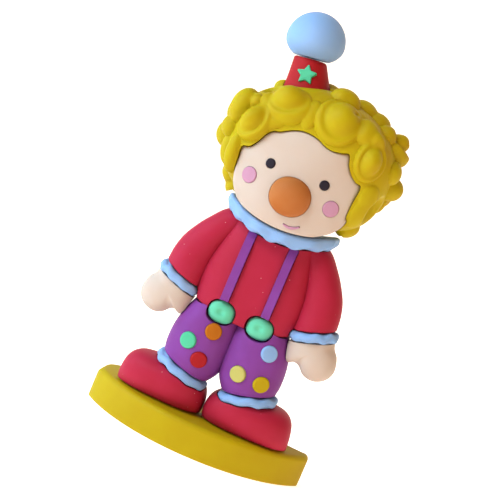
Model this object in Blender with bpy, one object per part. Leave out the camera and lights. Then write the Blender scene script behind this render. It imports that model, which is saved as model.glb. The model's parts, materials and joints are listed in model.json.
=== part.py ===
"""Moulded clown figurine: a round-limbed figure with curly hair, a small hat and a pompon on a foot plate.

All sizes are in metres, +Z is up and the figure faces -Y. The origin is on the ground under the figure.
Left and right are the sides that someone looking at the figure's front sees: left is -X.
Heights stack up from the foot plate, so a longer leg or a thicker plate carries everything above it along.
"""

import math

import bmesh
import bpy
import numpy as np
from mathutils import Matrix, Vector
from mathutils.bvhtree import BVHTree

# Clearance left in every seam between two pieces
GAP = 0.0003
# Small rounding of the edges that meet a seam
EDGE = 0.0004
# Points of a cut surface closer than this are one point
WELD = 0.00002

# Foot plate
BASE_HEIGHT = 0.0073
BASE_RIGHT = 0.0254
BASE_LEFT = 0.0262
BASE_FRONT = 0.0087
BASE_BOW_RADIUS = 0.0300
BASE_BOW_X = -0.0012
BASE_SIDE_RIGHT = 0.0031
BASE_SIDE_LEFT = 0.0121
BASE_CORNER_RIGHT = 0.0008
BASE_CORNER_LEFT = 0.0060
BASE_EDGE = 0.0013

# Shoes
FOOT_SHIFT = -0.0006
SHOE_OUT = 0.0104
SHOE_HALF_WIDTH = 0.0103
SHOE_HALF_DEPTH = 0.0073
SHOE_BACK = 0.0016
SHOE_HEIGHT = 0.0087
SHOE_TURN = 5.0

# Trouser cuffs
ANKLE_HEIGHT = 0.0084
ANKLE_OUT = 0.0080
ANKLE_TILT = 16.0
ANKLE_HALF_WIDTH = 0.0067
ANKLE_HALF_DEPTH = 0.0064
ANKLE_CUFF_THICKNESS = 0.0019
CUFF_WAVE = 0.00018
CUFF_WAVES = 9
CUFF_ROUNDNESS = 0.96

# Trousers
LEG_LENGTH = 0.0248
LEG_OUT = 0.0064
LEG_HALF_WIDTH = 0.0072
LEG_HALF_DEPTH = 0.0067
DOT_RADIUS = 0.00185
DOT_THICKNESS = 0.0011
DOT_PROUD = 0.0004

# Shirt
TORSO_LENGTH = 0.0198
TORSO_HALF_WIDTH = 0.0127
TORSO_HALF_DEPTH = 0.0063
TORSO_POWER = 2.8
HEM_DROP = 0.0016
SLEEVE_HALF_WIDTH = 0.0047
SLEEVE_HALF_DEPTH = 0.0050
ARM_FORWARD = 0.0012

# Sleeve cuffs and hands
WRIST_OUT = 0.0161
WRIST_DROP = 0.0174
WRIST_TILT = 19.3
WRIST_CUFF_HALF_WIDTH = 0.0054
WRIST_CUFF_HALF_DEPTH = 0.0054
WRIST_CUFF_THICKNESS = 0.0020
HAND_LENGTH = 0.0092
HAND_HALF_THICKNESS = 0.0042

# Suspenders and their buttons
FRONT_SHIFT = 0.0003
STRAP_X = 0.0048
STRAP_WIDTH = 0.0019
STRAP_THICKNESS = 0.0014
STRAP_PROUD = 0.0005
BUTTON_X = 0.0045
BUTTON_HALF_WIDTH = 0.0030
BUTTON_HALF_HEIGHT = 0.0025
BUTTON_DROP = 0.0004
BUTTON_PROUD = 0.0016
BUTTON_SEAT = 0.0010
BUTTON_DIMPLE = 0.0005

# Collar
COLLAR_HALF_WIDTH = 0.0129
COLLAR_HALF_DEPTH = 0.0088
COLLAR_FORWARD = 0.0006
COLLAR_THICKNESS = 0.0028
COLLAR_RISE = 0.0032
COLLAR_EDGE = 0.0010
COLLAR_WAVE = 0.0004
COLLAR_WAVES = 12

# Head and hair
HEAD_HALF_WIDTH = 0.0184
HEAD_HALF_DEPTH = 0.0117
HEAD_HALF_HEIGHT = 0.0142
HEAD_BACK = 0.0010
HEAD_POWER_TOP = 1.9
HEAD_POWER_BOTTOM = 3.2
HEAD_PILLOW = 3.2
CURL_HEIGHT = 0.0028
CURL_BLEND = 7.0
CURL_ROUNDNESS = 0.55
BUD_ROUNDNESS = 0.95
CURL_GROOVE = 0.45
GROOVE_WIDTH = 0.28
BACK_BUD_SIZE = 0.62
BACK_BUD_LIFT = 0.06
BACK_VARIETY = 0.16
BACK_BEAT = 2.3
BACK_START = 0.50
HAIR_HANG = 0.7
HAIR_FACES = 1600

# Face plug
FACE_OVERHANG = 0.0006
FACE_HALF_WIDTH = COLLAR_HALF_WIDTH + FACE_OVERHANG
CHIN_SHARE = 1.285
CHIN_LIFT = 0.00125
FACE_FRONT = 0.0116
FACE_BACK = 0.0035
FACE_DOME_ACROSS = 0.0036
FACE_DOME_UP = 0.0026
FACE_EDGE = 0.0005
NOSE_HALF_WIDTH = 0.0045
NOSE_HALF_HEIGHT = 0.0042
NOSE_PROUD = 0.0034
NOSE_DROP = 0.715
EYE_RADIUS = 0.00105
CHEEK_RADIUS = 0.00175
INLAY_THICKNESS = 0.0010
INLAY_PROUD = 0.00025
MOUTH_THICKNESS = 0.0006

# Hat, star and pompon
HAT_TOP_RADIUS = 0.0036
HAT_RADIUS = 0.0060
HAT_HEIGHT = 0.0084
HAT_X = -0.0057
HAT_LEAN = 0.0016
HAT_TILT = 7.0
HAT_SINK = 0.0036
STAR_X = -0.0073
STAR_UP = 0.0047
STAR_RADIUS = 0.00235
STAR_TURN = 10.0
STAR_THICKNESS = 0.0010
STAR_PROUD = 0.0004
POMPON_RADIUS = 0.0065
POMPON_SQUASH = 0.90
POMPON_HEIGHT = 0.0110

# Heights of the figure's main levels
ANKLE_Z = BASE_HEIGHT + ANKLE_HEIGHT
WAIST_Z = BASE_HEIGHT + LEG_LENGTH
NECK_Z = WAIST_Z + TORSO_LENGTH
WRIST_Z = NECK_Z - WRIST_DROP
HEAD_Z = NECK_Z + CHIN_LIFT + CHIN_SHARE * FACE_HALF_WIDTH

# Principled colours: colour, roughness
COLOURS = {
    "mustard": ((0.62, 0.45, 0.02), 0.55),
    "crimson": ((0.47, 0.03, 0.05), 0.55),
    "purple": ((0.19, 0.06, 0.22), 0.55),
    "sky": ((0.36, 0.53, 0.80), 0.55),
    "skin": ((0.75, 0.53, 0.40), 0.55),
    "hair": ((0.60, 0.42, 0.01), 0.55),
    "green": ((0.05, 0.60, 0.25), 0.50),
    "mint": ((0.10, 0.62, 0.36), 0.50),
    "orange": ((0.52, 0.15, 0.02), 0.50),
    "red": ((0.50, 0.03, 0.01), 0.50),
    "cream": ((0.75, 0.68, 0.22), 0.50),
    "pink": ((0.75, 0.30, 0.42), 0.55),
    "plum": ((0.02, 0.015, 0.025), 0.45),
}


def remove_all_objects():
    for obj in list(bpy.data.objects):
        bpy.data.objects.remove(obj, do_unlink=True)


def make_material(colour):
    material = bpy.data.materials.get(colour) or bpy.data.materials.new(colour)
    material.use_nodes = True
    shader = material.node_tree.nodes["Principled BSDF"]
    rgb, roughness = COLOURS[colour]
    shader.inputs["Base Color"].default_value = (*rgb, 1.0)
    shader.inputs["Roughness"].default_value = roughness
    shader.inputs["Metallic"].default_value = 0.0
    return material


def add_object(name, bm, colour=None):
    """Turns a bmesh into an object of the scene. A piece without a colour is a guide for cutting."""
    mesh = bpy.data.meshes.new(name)
    bm.to_mesh(mesh)
    bm.free()
    obj = bpy.data.objects.new(name, mesh)
    bpy.context.scene.collection.objects.link(obj)
    if colour:
        mesh.materials.append(make_material(colour))
    else:
        obj.hide_render = True
        obj.display_type = "WIRE"
    return obj


def combine(piece, others, operation):
    """Cuts the other solids out of a piece, or joins them to it, and clears them away."""
    for other in others:
        boolean = piece.modifiers.new(operation.lower(), "BOOLEAN")
        boolean.operation = operation
        boolean.solver = "EXACT"
        boolean.object = other
    evaluated = piece.evaluated_get(bpy.context.evaluated_depsgraph_get())
    result = bpy.data.meshes.new_from_object(evaluated)
    piece.modifiers.clear()
    weld(result)
    piece.data = result
    for other in others:
        bpy.data.objects.remove(other, do_unlink=True)
    return piece


def weld(mesh):
    """Closes the hair-fine slivers that a cut can leave."""
    bm = bmesh.new()
    bm.from_mesh(mesh)
    bmesh.ops.remove_doubles(bm, verts=bm.verts, dist=WELD)
    bmesh.ops.dissolve_degenerate(bm, edges=bm.edges, dist=WELD / 2)
    bmesh.ops.triangulate(bm, faces=bm.faces)
    bm.to_mesh(mesh)
    bm.free()


def cut(piece, *cutters):
    return combine(piece, cutters, "DIFFERENCE")


def join(piece, *others):
    return combine(piece, others, "UNION")


def oval(half_x, half_y, power=2.0, count=32):
    """Points of a superellipse, anticlockwise seen from above; a power over 2 is boxier."""
    points = []
    for i in range(count):
        angle = 2 * math.pi * i / count
        c, s = math.cos(angle), math.sin(angle)
        x = half_x * math.copysign(abs(c) ** (2 / power), c)
        y = half_y * math.copysign(abs(s) ** (2 / power), s)
        points.append(Vector((x, y, 0.0)))
    return points


def smooth_rows(rows, steps):
    """A Catmull-Rom curve through rows of numbers, with the given number of steps between two rows."""
    padded = [rows[0], *rows, rows[-1]]
    result = []
    for i in range(len(rows) - 1):
        before, start, end, after = (np.array(row, float) for row in padded[i:i + 4])
        for step in range(steps):
            t = step / steps
            result.append(0.5 * (2 * start + (end - before) * t
                                 + (2 * before - 5 * start + 4 * end - after) * t * t
                                 + (3 * start - before - 3 * end + after) * t ** 3))
    result.append(np.array(rows[-1], float))
    return result


def closed_curve(points, steps):
    """A closed smooth outline through the given (x, y) points."""
    count = len(points)
    rows = [np.array(point, float) for point in points]
    result = []
    for i in range(count):
        before, start, end, after = (rows[(i + k) % count] for k in (-1, 0, 1, 2))
        for step in range(steps):
            t = step / steps
            x, y = 0.5 * (2 * start + (end - before) * t
                          + (2 * before - 5 * start + 4 * end - after) * t * t
                          + (3 * start - before - 3 * end + after) * t ** 3)
            result.append(Vector((x, y, 0.0)))
    return result


def inset(points, distance):
    """The outline moved inwards by a distance, or outwards where the distance is negative."""
    count = len(points)
    result = []
    for i, point in enumerate(points):
        back = (point - points[i - 1]).normalized()
        ahead = (points[(i + 1) % count] - point).normalized()
        middle = (back + ahead).normalized()
        inward = Vector((-middle.y, middle.x, 0.0))
        reach = distance / max(0.5, inward.dot(Vector((-back.y, back.x, 0.0))))
        result.append(point + inward * reach)
    return result


def raised(points, height):
    return [Vector((point.x, point.y, point.z + height)) for point in points]


def scaled(points, centre, factor):
    return [centre + (point - centre) * factor for point in points]


def skin(rings):
    """A closed skin through rings of equal length, lowest first; a ring of one point is a tip."""
    bm = bmesh.new()
    rows = [[bm.verts.new(point) for point in ring] for ring in rings]
    for low, high in zip(rows, rows[1:]):
        count = max(len(low), len(high))
        for i in range(count):
            j = (i + 1) % count
            if len(low) == 1:
                bm.faces.new((low[0], high[j], high[i]))
            elif len(high) == 1:
                bm.faces.new((low[i], low[j], high[0]))
            else:
                bm.faces.new((low[i], low[j], high[j], high[i]))
    if len(rows[0]) > 1:
        bm.faces.new(list(reversed(rows[0])))
    if len(rows[-1]) > 1:
        bm.faces.new(rows[-1])
    bmesh.ops.recalc_face_normals(bm, faces=bm.faces)
    bmesh.ops.triangulate(bm, faces=bm.faces)
    return bm


def slab_rings(outline, bottom, top, bottom_edge, top_edge, steps=3):
    """Rings of a flat slab with this outline, whose lower and upper edges are rounded."""
    rings = []
    for step in range(steps + 1 if bottom_edge else 1):
        angle = math.pi / 2 * step / steps
        rings.append(raised(inset(outline, bottom_edge * (1 - math.sin(angle))),
                            bottom + bottom_edge * (1 - math.cos(angle))))
    for step in range(steps + 1):
        angle = math.pi / 2 * step / steps
        rings.append(raised(inset(outline, top_edge * (1 - math.cos(angle))),
                            top - top_edge * (1 - math.sin(angle))))
    return rings


def place(rings, matrix):
    return [[matrix @ point for point in ring] for ring in rings]


def limb_rings(rows, side, steps, power, count, grow=0.0):
    """Rings of a limb. A row is height, distance out, y, half width, half depth and tilt in degrees."""
    rings = []
    for z, out, y, half_width, half_depth, tilt in smooth_rows(rows, steps):
        matrix = Matrix.Translation((side * out, y, z)) @ Matrix.Rotation(-side * math.radians(tilt), 4, "Y")
        ring = oval(half_width + grow, half_depth + grow, power, count)
        rings.append([matrix @ point for point in ring])
    return rings


def shrunk(ring, distance):
    """A ring drawn in towards its own middle by a distance."""
    middle = sum(ring, Vector()) / len(ring)
    reach = sum((point - middle).length for point in ring) / len(ring)
    return scaled(ring, middle, 1 - distance / reach)


def round_ends(rings, edge):
    """Rounds the rims of a limb's flat ends."""
    first, second = rings[0], rings[1]
    last, before = rings[-1], rings[-2]
    low = [a.lerp(b, min(0.5, edge / (b - a).length)) for a, b in zip(first, second)]
    high = [a.lerp(b, min(0.5, edge / (b - a).length)) for a, b in zip(last, before)]
    return [shrunk(first, edge), low, *rings[1:-1], high, shrunk(last, edge)]


def box(low, high):
    bm = bmesh.new()
    bmesh.ops.create_cube(bm, size=1.0)
    size = Vector(high) - Vector(low)
    middle = (Vector(high) + Vector(low)) / 2
    bmesh.ops.transform(bm, matrix=Matrix.Translation(middle) @ Matrix.Diagonal((*size, 1.0)), verts=bm.verts)
    return bm


def surface_point(piece, x, z):
    """Where a line from the front meets a piece: the point and the outward normal there."""
    tree = BVHTree.FromObject(piece, bpy.context.evaluated_depsgraph_get())
    point, normal, _, _ = tree.ray_cast(Vector((x, -1.0, z)), Vector((0.0, 1.0, 0.0)))
    return point, normal


def seat_matrix(piece, x, z, reach=0.0):
    """Frame on a piece's front: local +Z out of the surface, local +Y up. Reach averages the slope nearby."""
    point, normal = surface_point(piece, x, z)
    for dx, dz in ((reach, 0), (-reach, 0), (0, reach), (0, -reach)):
        if reach:
            normal = normal + surface_point(piece, x + dx, z + dz)[1]
    out = normal.normalized()
    right = Vector((0.0, 0.0, 1.0)).cross(out).normalized()
    up = out.cross(right)
    matrix = Matrix((right, up, out)).transposed().to_4x4()
    return Matrix.Translation(point) @ matrix


def inlay(name, parents, matrix, outline, colour, thickness, proud, edge):
    """A flat piece set in a recess of its parents, standing a little proud of them."""
    sink = thickness - proud
    piece = add_object(name, skin(place(slab_rings(outline, -sink, proud, 0.0, edge, 1), matrix)), colour)
    for parent in parents:
        recess = [raised(inset(outline, -GAP), height) for height in (-sink - GAP, 3 * thickness)]
        cut(parent, add_object("recess", skin(place(recess, matrix))))
    return piece


def base_outline():
    """Plan of the foot plate: a bowed front, a square right end and a deeper rounded left end."""
    centre = Vector((BASE_BOW_X, BASE_BOW_RADIUS - BASE_FRONT, 0.0))
    bow = []
    start = math.asin((-BASE_LEFT - BASE_BOW_X) / BASE_BOW_RADIUS)
    end = math.asin((BASE_RIGHT - BASE_BOW_X) / BASE_BOW_RADIUS)
    steps = 15
    for step in range(steps + 1):
        angle = start + (end - start) * step / steps
        bow.append(centre + BASE_BOW_RADIUS * Vector((math.sin(angle), -math.cos(angle), 0.0)))
    corners = [bow[-1] + Vector((0.0, BASE_SIDE_RIGHT, 0.0)), bow[0] + Vector((0.0, BASE_SIDE_LEFT, 0.0))]
    right = rounded_corner(bow[-1], corners[0], corners[1], BASE_CORNER_RIGHT, 2)
    left = rounded_corner(corners[0], corners[1], bow[0], BASE_CORNER_LEFT, 5)
    return bow + right + left


def rounded_corner(before, corner, after, radius, steps):
    """Points of an arc that replaces a corner of an outline."""
    back = (before - corner).normalized()
    ahead = (after - corner).normalized()
    half = back.angle(ahead) / 2
    reach = radius / math.tan(half)
    start, end = corner + back * reach, corner + ahead * reach
    centre = corner + (back + ahead).normalized() * (radius / math.sin(half))
    points = []
    for step in range(steps + 1):
        arm = (start - centre).lerp(end - centre, step / steps)
        points.append(centre + arm.normalized() * radius)
    return points


def make_base():
    rings = slab_rings(base_outline(), 0.0, BASE_HEIGHT, EDGE, BASE_EDGE, 2)
    return add_object("base", skin(rings), "mustard")


# A shoe's sections from the sole up: share of the height, then of the half width and depth, and how far
# the middle of the section moves out and back, as shares of the half width and depth
SHOE_SECTIONS = (
    (0.00, 0.99, 0.80, 0.02, 0.20),
    (0.20, 1.00, 0.95, 0.00, 0.08),
    (0.45, 0.98, 1.00, -0.01, 0.00),
    (0.70, 0.91, 0.95, 0.00, -0.05),
    (0.88, 0.76, 0.76, 0.03, -0.08),
    (0.97, 0.52, 0.48, 0.08, -0.08),
)


def make_shoe(name, side):
    foot = BASE_HEIGHT + GAP
    rows = []
    for height, width, depth, out, back in SHOE_SECTIONS:
        rows.append((foot + height * SHOE_HEIGHT, SHOE_OUT + out * SHOE_HALF_WIDTH,
                     SHOE_BACK + back * SHOE_HALF_DEPTH, width * SHOE_HALF_WIDTH,
                     depth * SHOE_HALF_DEPTH, 0.0))
    rings = limb_rings(rows, side, 1, 2.5, 18)
    rings = [shrunk(rings[0], EDGE), raised(rings[0], EDGE), *rings[1:]]
    middle = sum(rings[-1], Vector()) / len(rings[-1])
    rings.append([Vector((middle.x, middle.y, foot + SHOE_HEIGHT))])
    pivot = Vector((side * SHOE_OUT, SHOE_BACK, 0.0))
    turn = Matrix.Rotation(side * math.radians(SHOE_TURN), 4, "Z")
    shift = Matrix.Translation((FOOT_SHIFT, 0.0, 0.0))
    rings = place(rings, shift @ Matrix.Translation(pivot) @ turn @ Matrix.Translation(-pivot))
    shoe = add_object(name, skin(rings), "crimson")
    inner, outer = FOOT_SHIFT + side * GAP / 2, -side * 2 * SHOE_OUT
    reach = 3 * SHOE_HALF_DEPTH
    other_half = box((min(inner, outer), -reach, 0.0), (max(inner, outer), reach, reach))
    return cut(shoe, add_object("other_half", other_half), add_object("cuff_seat", ankle_cuff(side, GAP)))


def wavy_cuff(side, place_at, tilt, half_width, half_depth, thickness, grow):
    """A rolled band: a thick oval disc with a fully rounded, gently waving edge."""
    half = thickness / 2 + grow
    outline = oval(half_width + grow, half_depth + grow, 2.2, 2 * CUFF_WAVES)
    rings = slab_rings(outline, -half, half, half * CUFF_ROUNDNESS, half * CUFF_ROUNDNESS, 2)
    for ring in rings:
        for point in ring:
            wave = math.cos(CUFF_WAVES * math.atan2(point.y / half_depth, point.x / half_width))
            point.z += CUFF_WAVE * wave * math.hypot(point.x / half_width, point.y / half_depth) ** 4
    matrix = Matrix.Translation(place_at) @ Matrix.Rotation(-side * math.radians(tilt), 4, "Y")
    return skin(place(rings, matrix))


def ankle_cuff(side, grow=0.0):
    return wavy_cuff(side, (side * ANKLE_OUT, 0.0, ANKLE_Z), ANKLE_TILT, ANKLE_HALF_WIDTH, ANKLE_HALF_DEPTH,
                     ANKLE_CUFF_THICKNESS, grow)


def wrist_cuff(side, grow=0.0):
    return wavy_cuff(side, (side * WRIST_OUT, -ARM_FORWARD, WRIST_Z), WRIST_TILT, WRIST_CUFF_HALF_WIDTH,
                     WRIST_CUFF_HALF_DEPTH, WRIST_CUFF_THICKNESS, grow)


# A leg's sections from the cuff up: share of the way from ankle to waist, then shares of how far out it
# stands, of the half width and the half depth, and of the cuff's tilt
LEG_SECTIONS = (
    (0.00, 1.17, 0.82, 0.88, 1.00),
    (0.15, 1.06, 0.95, 0.97, 0.60),
    (0.35, 1.01, 1.00, 1.02, 0.20),
    (0.54, 0.98, 0.99, 1.03, 0.00),
    (0.72, 0.94, 0.94, 1.01, 0.00),
    (0.88, 0.90, 0.85, 0.96, 0.00),
    (1.02, 0.87, 0.73, 0.88, 0.00),
    (1.16, 0.85, 0.56, 0.70, 0.00),
)


def leg(side, grow=0.0):
    """One balloon leg, from the top of its cuff to a little above the waist."""
    lift = ANKLE_CUFF_THICKNESS / 2 + GAP - grow
    ankle = ANKLE_Z + lift * math.cos(math.radians(ANKLE_TILT))
    foot_out = ANKLE_OUT - lift * math.sin(math.radians(ANKLE_TILT)) - LEG_SECTIONS[0][1] * LEG_OUT
    rows = []
    for share, out, width, depth, tilt in LEG_SECTIONS:
        middle = out * LEG_OUT + foot_out * max(0.0, 1 - share * 3)
        rows.append((ankle + share * (WAIST_Z - ankle), middle, 0.0, width * LEG_HALF_WIDTH,
                     depth * LEG_HALF_DEPTH, tilt * ANKLE_TILT))
    rings = limb_rings(rows, side, 1, 2.2, 16, grow)
    return skin(round_ends(rings, EDGE))


def legs(grow=0.0):
    first = add_object("leg", leg(-1, grow))
    return join(first, add_object("other_leg", leg(1, grow)))


# A torso's sections from the hem up: share of the length, of the half width and depth, and of the hem's
# drop and the collar's rise that the section follows
TORSO_SECTIONS = (
    (0.00, 0.89, 0.98, 1.0, 0.0),
    (0.12, 0.945, 1.01, 0.8, 0.0),
    (0.28, 0.97, 1.03, 0.3, 0.0),
    (0.44, 0.955, 1.03, 0.0, 0.0),
    (0.62, 0.89, 1.01, 0.0, 0.1),
    (0.80, 0.81, 0.96, 0.0, 0.4),
    (1.00, 0.72, 0.86, 0.0, 1.0),
)


def torso(grow=0.0):
    """The shirt's trunk. Its hem hangs lower in the middle and its top follows the collar."""
    rows = smooth_rows(TORSO_SECTIONS, 1)
    levels = [(row, 0.0, 1.0) for row in rows]
    levels[0] = (rows[0], EDGE, 1.0)
    ends = [(rows[0], 0.0, share) for share in (0.0, 0.6)] + [(rows[0], 0.0, 1 - EDGE / TORSO_HALF_DEPTH)]
    tops = [(rows[-1], 0.0, share) for share in (0.6, 0.0)]
    rings = []
    for (share, width, depth, drop, rise), lift, reach in ends + levels + tops:
        half_width = width * TORSO_HALF_WIDTH + grow
        ring = oval(half_width * reach, (depth * TORSO_HALF_DEPTH + grow) * reach, TORSO_POWER, 22)
        for point in ring:
            across = point.x / half_width
            point.z = WAIST_Z + share * TORSO_LENGTH + lift - (grow if share == 0.0 else 0.0)
            point.z += rise * collar_rise(point.x) - drop * HEM_DROP * (1 - across * across)
        rings.append(ring if reach else ring[:1])
    return skin(rings)


# A sleeve's sections from the cuff up: share of the way to the shoulder, distance out as a share of the
# wrist's, shares of the half width and depth, and of the cuff's tilt
SLEEVE_SECTIONS = (
    (0.00, 0.975, 1.00, 1.00, 1.00),
    (0.20, 0.955, 0.98, 0.98, 0.80),
    (0.42, 0.905, 0.92, 0.93, 0.50),
    (0.64, 0.800, 0.85, 0.86, 0.30),
    (0.80, 0.695, 0.80, 0.80, 0.15),
    (0.93, 0.610, 0.72, 0.72, 0.00),
    (1.01, 0.560, 0.52, 0.50, 0.00),
)


def sleeve(side):
    lift = WRIST_CUFF_THICKNESS / 2 + GAP
    wrist = WRIST_Z + lift * math.cos(math.radians(WRIST_TILT))
    shoulder = NECK_Z + collar_rise(0.6 * COLLAR_HALF_WIDTH)
    rows = []
    for share, out, width, depth, tilt in SLEEVE_SECTIONS:
        rows.append((wrist + share * (shoulder - wrist), out * WRIST_OUT, -ARM_FORWARD * (1 - share),
                     width * SLEEVE_HALF_WIDTH, depth * SLEEVE_HALF_DEPTH, tilt * WRIST_TILT))
    return skin(round_ends(limb_rings(rows, side, 1, 2.2, 14), EDGE))


def collar_rise(x):
    """How much higher the collar lies at the shoulders than in the middle."""
    return COLLAR_RISE * (x / COLLAR_HALF_WIDTH) ** 2


def collar(grow=0.0):
    """A thick frilled disc around the neck, bent up towards the shoulders. Grown, it has no frill."""
    half = COLLAR_THICKNESS / 2 + grow
    count = 24 if grow else 4 * COLLAR_WAVES
    outline = oval(COLLAR_HALF_WIDTH + grow, COLLAR_HALF_DEPTH + grow, 2.3, count)
    rings = slab_rings(outline, -half, half, COLLAR_EDGE, COLLAR_EDGE, 1)
    for level, ring in enumerate(rings):
        lower = 0.0 if grow else 1 - level / (len(rings) - 1)
        for i, point in enumerate(ring):
            wave = math.cos(2 * math.pi * COLLAR_WAVES * i / count)
            point.x *= 1 + wave * lower * COLLAR_WAVE / COLLAR_HALF_WIDTH
            point.y *= 1 + wave * lower * COLLAR_WAVE / COLLAR_HALF_DEPTH
            point.z += wave * lower * COLLAR_WAVE
    low, high = Vector((0.0, 0.0, -half)), Vector((0.0, 0.0, half))
    inner = [Vector((point.x / 2, point.y / 2, -half)) for point in rings[0]]
    rings = [[low], inner, *rings, scaled(rings[-1], high, 0.5), [high]]
    for ring in rings:
        for point in ring:
            point.z += NECK_Z + collar_rise(point.x)
            point.y -= COLLAR_FORWARD
    return skin(rings)


def neck_block(name):
    """Everything below the top of the collar, as a guide that gives the head its underside.

    Outside the collar it slopes down, so the hair can hang a little lower there.
    """
    count = 28
    reach = 2 * COLLAR_HALF_WIDTH
    line = []
    for i in range(count + 1):
        x = reach * (2 * i / count - 1)
        beyond = max(0.0, abs(x) - COLLAR_HALF_WIDTH)
        rise = collar_rise(min(abs(x), COLLAR_HALF_WIDTH)) - HAIR_HANG * beyond
        line.append((x, NECK_Z + COLLAR_THICKNESS / 2 + GAP + rise))
    rings = []
    for y in (reach, -reach):
        ring = [Vector((-reach, y, 0.0)), Vector((reach, y, 0.0))]
        rings.append(ring + [Vector((x, y, z)) for x, z in reversed(line)])
    return add_object(name, skin(rings))


# Outline of a mitten hand with its thumb towards the body: distance out from the wrist and down from it,
# as shares of the hand's length
HAND_OUTLINE = (
    (0.44, 0.45), (0.55, -0.05), (0.70, -0.28), (0.77, -0.56), (0.71, -0.79), (0.54, -0.95),
    (0.32, -1.01), (0.10, -0.95), (-0.06, -0.80), (-0.20, -0.76), (-0.36, -0.82), (-0.50, -0.70),
    (-0.52, -0.30), (-0.44, 0.30), (0.0, 0.55),
)


def hand(side):
    """An inflated mitten: its outline in the X-Z plane, puffed up to both sides."""
    points = [(side * out * HAND_LENGTH, up * HAND_LENGTH) for out, up in HAND_OUTLINE]
    if side < 0:
        points.reverse()
    outline = closed_curve(points[::-1], 2)
    centre = Vector((side * 0.1 * HAND_LENGTH, -0.35 * HAND_LENGTH, 0.0))
    shares = (0.0, 0.60, 0.90)
    rings = []
    for share in shares:
        height = -HAND_HALF_THICKNESS * (1 - share ** 2.4) ** 0.5
        ring = scaled(outline, centre, share) if share else [centre]
        rings.append(raised(ring, height))
    rings.append(outline)
    for share in reversed(shares):
        height = HAND_HALF_THICKNESS * (1 - share ** 2.4) ** 0.5
        ring = scaled(outline, centre, share) if share else [centre]
        rings.append(raised(ring, height))
    wrist = Matrix.Translation((side * WRIST_OUT, -ARM_FORWARD, WRIST_Z))
    return skin(place(rings, wrist @ Matrix.Rotation(math.pi / 2, 4, "X")))


def above_wrist(side):
    """Everything above a sleeve cuff's underside, as a guide that ends the hand there."""
    reach = 3 * WRIST_CUFF_HALF_WIDTH
    block = box((-reach, -reach, -WRIST_CUFF_THICKNESS / 2 - GAP), (reach, reach, reach))
    matrix = Matrix.Translation((side * WRIST_OUT, 0.0, WRIST_Z)) @ Matrix.Rotation(
        -side * math.radians(WRIST_TILT), 4, "Y")
    bmesh.ops.transform(block, matrix=matrix, verts=block.verts)
    return add_object("above_wrist", block)


# Places of the dots on the trousers: shares of the leg's distance out and of its length, colour
DOTS = {
    "dot_orange": (-0.62, 0.805, "orange"),
    "dot_mint": (-1.31, 0.648, "mint"),
    "dot_red": (-0.72, 0.522, "red"),
    "dot_sky": (1.41, 0.823, "sky"),
    "dot_cream": (0.69, 0.551, "cream"),
    "dot_mustard": (1.56, 0.543, "mustard"),
}


def make_dots(trousers):
    for name, (out, share, colour) in DOTS.items():
        matrix = seat_matrix(trousers, out * LEG_OUT, BASE_HEIGHT + share * LEG_LENGTH, DOT_RADIUS / 2)
        outline = oval(DOT_RADIUS, DOT_RADIUS, 2.0, 12)
        inlay(name, [trousers], matrix, outline, colour, DOT_THICKNESS, DOT_PROUD, DOT_PROUD)


def strap_line(shirt, x):
    """The way of a strap over the shirt: up the front, over the shoulder and down the back."""
    low = WAIST_Z + 0.5 * BUTTON_HALF_HEIGHT
    high = NECK_Z + collar_rise(x) - COLLAR_THICKNESS / 2 - COLLAR_WAVE - GAP - 1.2 * STRAP_PROUD
    steps = 5
    heights = [low + (high - low) * i / steps for i in range(steps + 1)]
    tree = BVHTree.FromObject(shirt, bpy.context.evaluated_depsgraph_get())
    sides = []
    for start, way in ((-1.0, 1.0), (1.0, -1.0)):
        line = []
        for z in heights[:-1]:
            point, _, _, _ = tree.ray_cast(Vector((x, start, z)), Vector((0.0, way, 0.0)))
            line.append(point)
        line.append(Vector((x, line[-1].y + way * STRAP_PROUD, high)))
        sides.append(line)
    front, back = sides
    return front + list(reversed(back))


def strap(line, grow=0.0):
    """A flat band along a line, sunk in except for its proud face. Grown, it also opens outwards."""
    half = STRAP_WIDTH / 2 + grow
    inner = STRAP_PROUD - STRAP_THICKNESS - grow
    if grow:
        outer = STRAP_THICKNESS
        section = [(-half, inner), (half, inner), (half, outer), (-half, outer)]
    else:
        outer = STRAP_PROUD
        section = [(-half, inner), (half, inner), (half, outer - EDGE), (half - EDGE, outer),
                   (EDGE - half, outer), (-half, outer - EDGE)]
    rings = []
    for i, point in enumerate(line):
        ahead = (line[min(i + 1, len(line) - 1)] - line[max(i - 1, 0)]).normalized()
        out = ahead.cross(Vector((1.0, 0.0, 0.0)))
        shift = -grow if i == 0 else grow if i == len(line) - 1 else 0.0
        middle = point + ahead * shift
        rings.append([middle + Vector((across, 0.0, 0.0)) + out * height for across, height in section])
    return skin(rings)


def button_outline(grow=0.0):
    return oval(BUTTON_HALF_WIDTH + grow, BUTTON_HALF_HEIGHT + grow, 2.3, 20)


def make_button(name, x, parents):
    """A domed button with a dimple, let into the shirt's hem and the trousers behind it."""
    point, _ = surface_point(parents[0], x, WAIST_Z + BUTTON_HALF_HEIGHT)
    point.z = WAIST_Z - BUTTON_DROP
    matrix = Matrix.Translation(point) @ Matrix.Rotation(math.pi / 2, 4, "X")
    rings = [raised(button_outline(-EDGE), -BUTTON_SEAT), raised(button_outline(), EDGE - BUTTON_SEAT)]
    for share in (1.0, 0.88, 0.62, 0.30):
        height = BUTTON_PROUD * (1 - share ** 2.4) ** 0.5
        dip = BUTTON_DIMPLE * math.exp(-(share / 0.28) ** 2)
        rings.append(raised(scaled(button_outline(), Vector(), share), height - dip))
    rings.append([Vector((0.0, 0.0, BUTTON_PROUD - BUTTON_DIMPLE))])
    button = add_object(name, skin(place(rings, matrix)), "green")
    for parent in parents:
        recess = [raised(button_outline(GAP), height) for height in (-BUTTON_SEAT - GAP, 4 * BUTTON_PROUD)]
        cut(parent, add_object("recess", skin(place(recess, matrix))))
    return button


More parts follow.
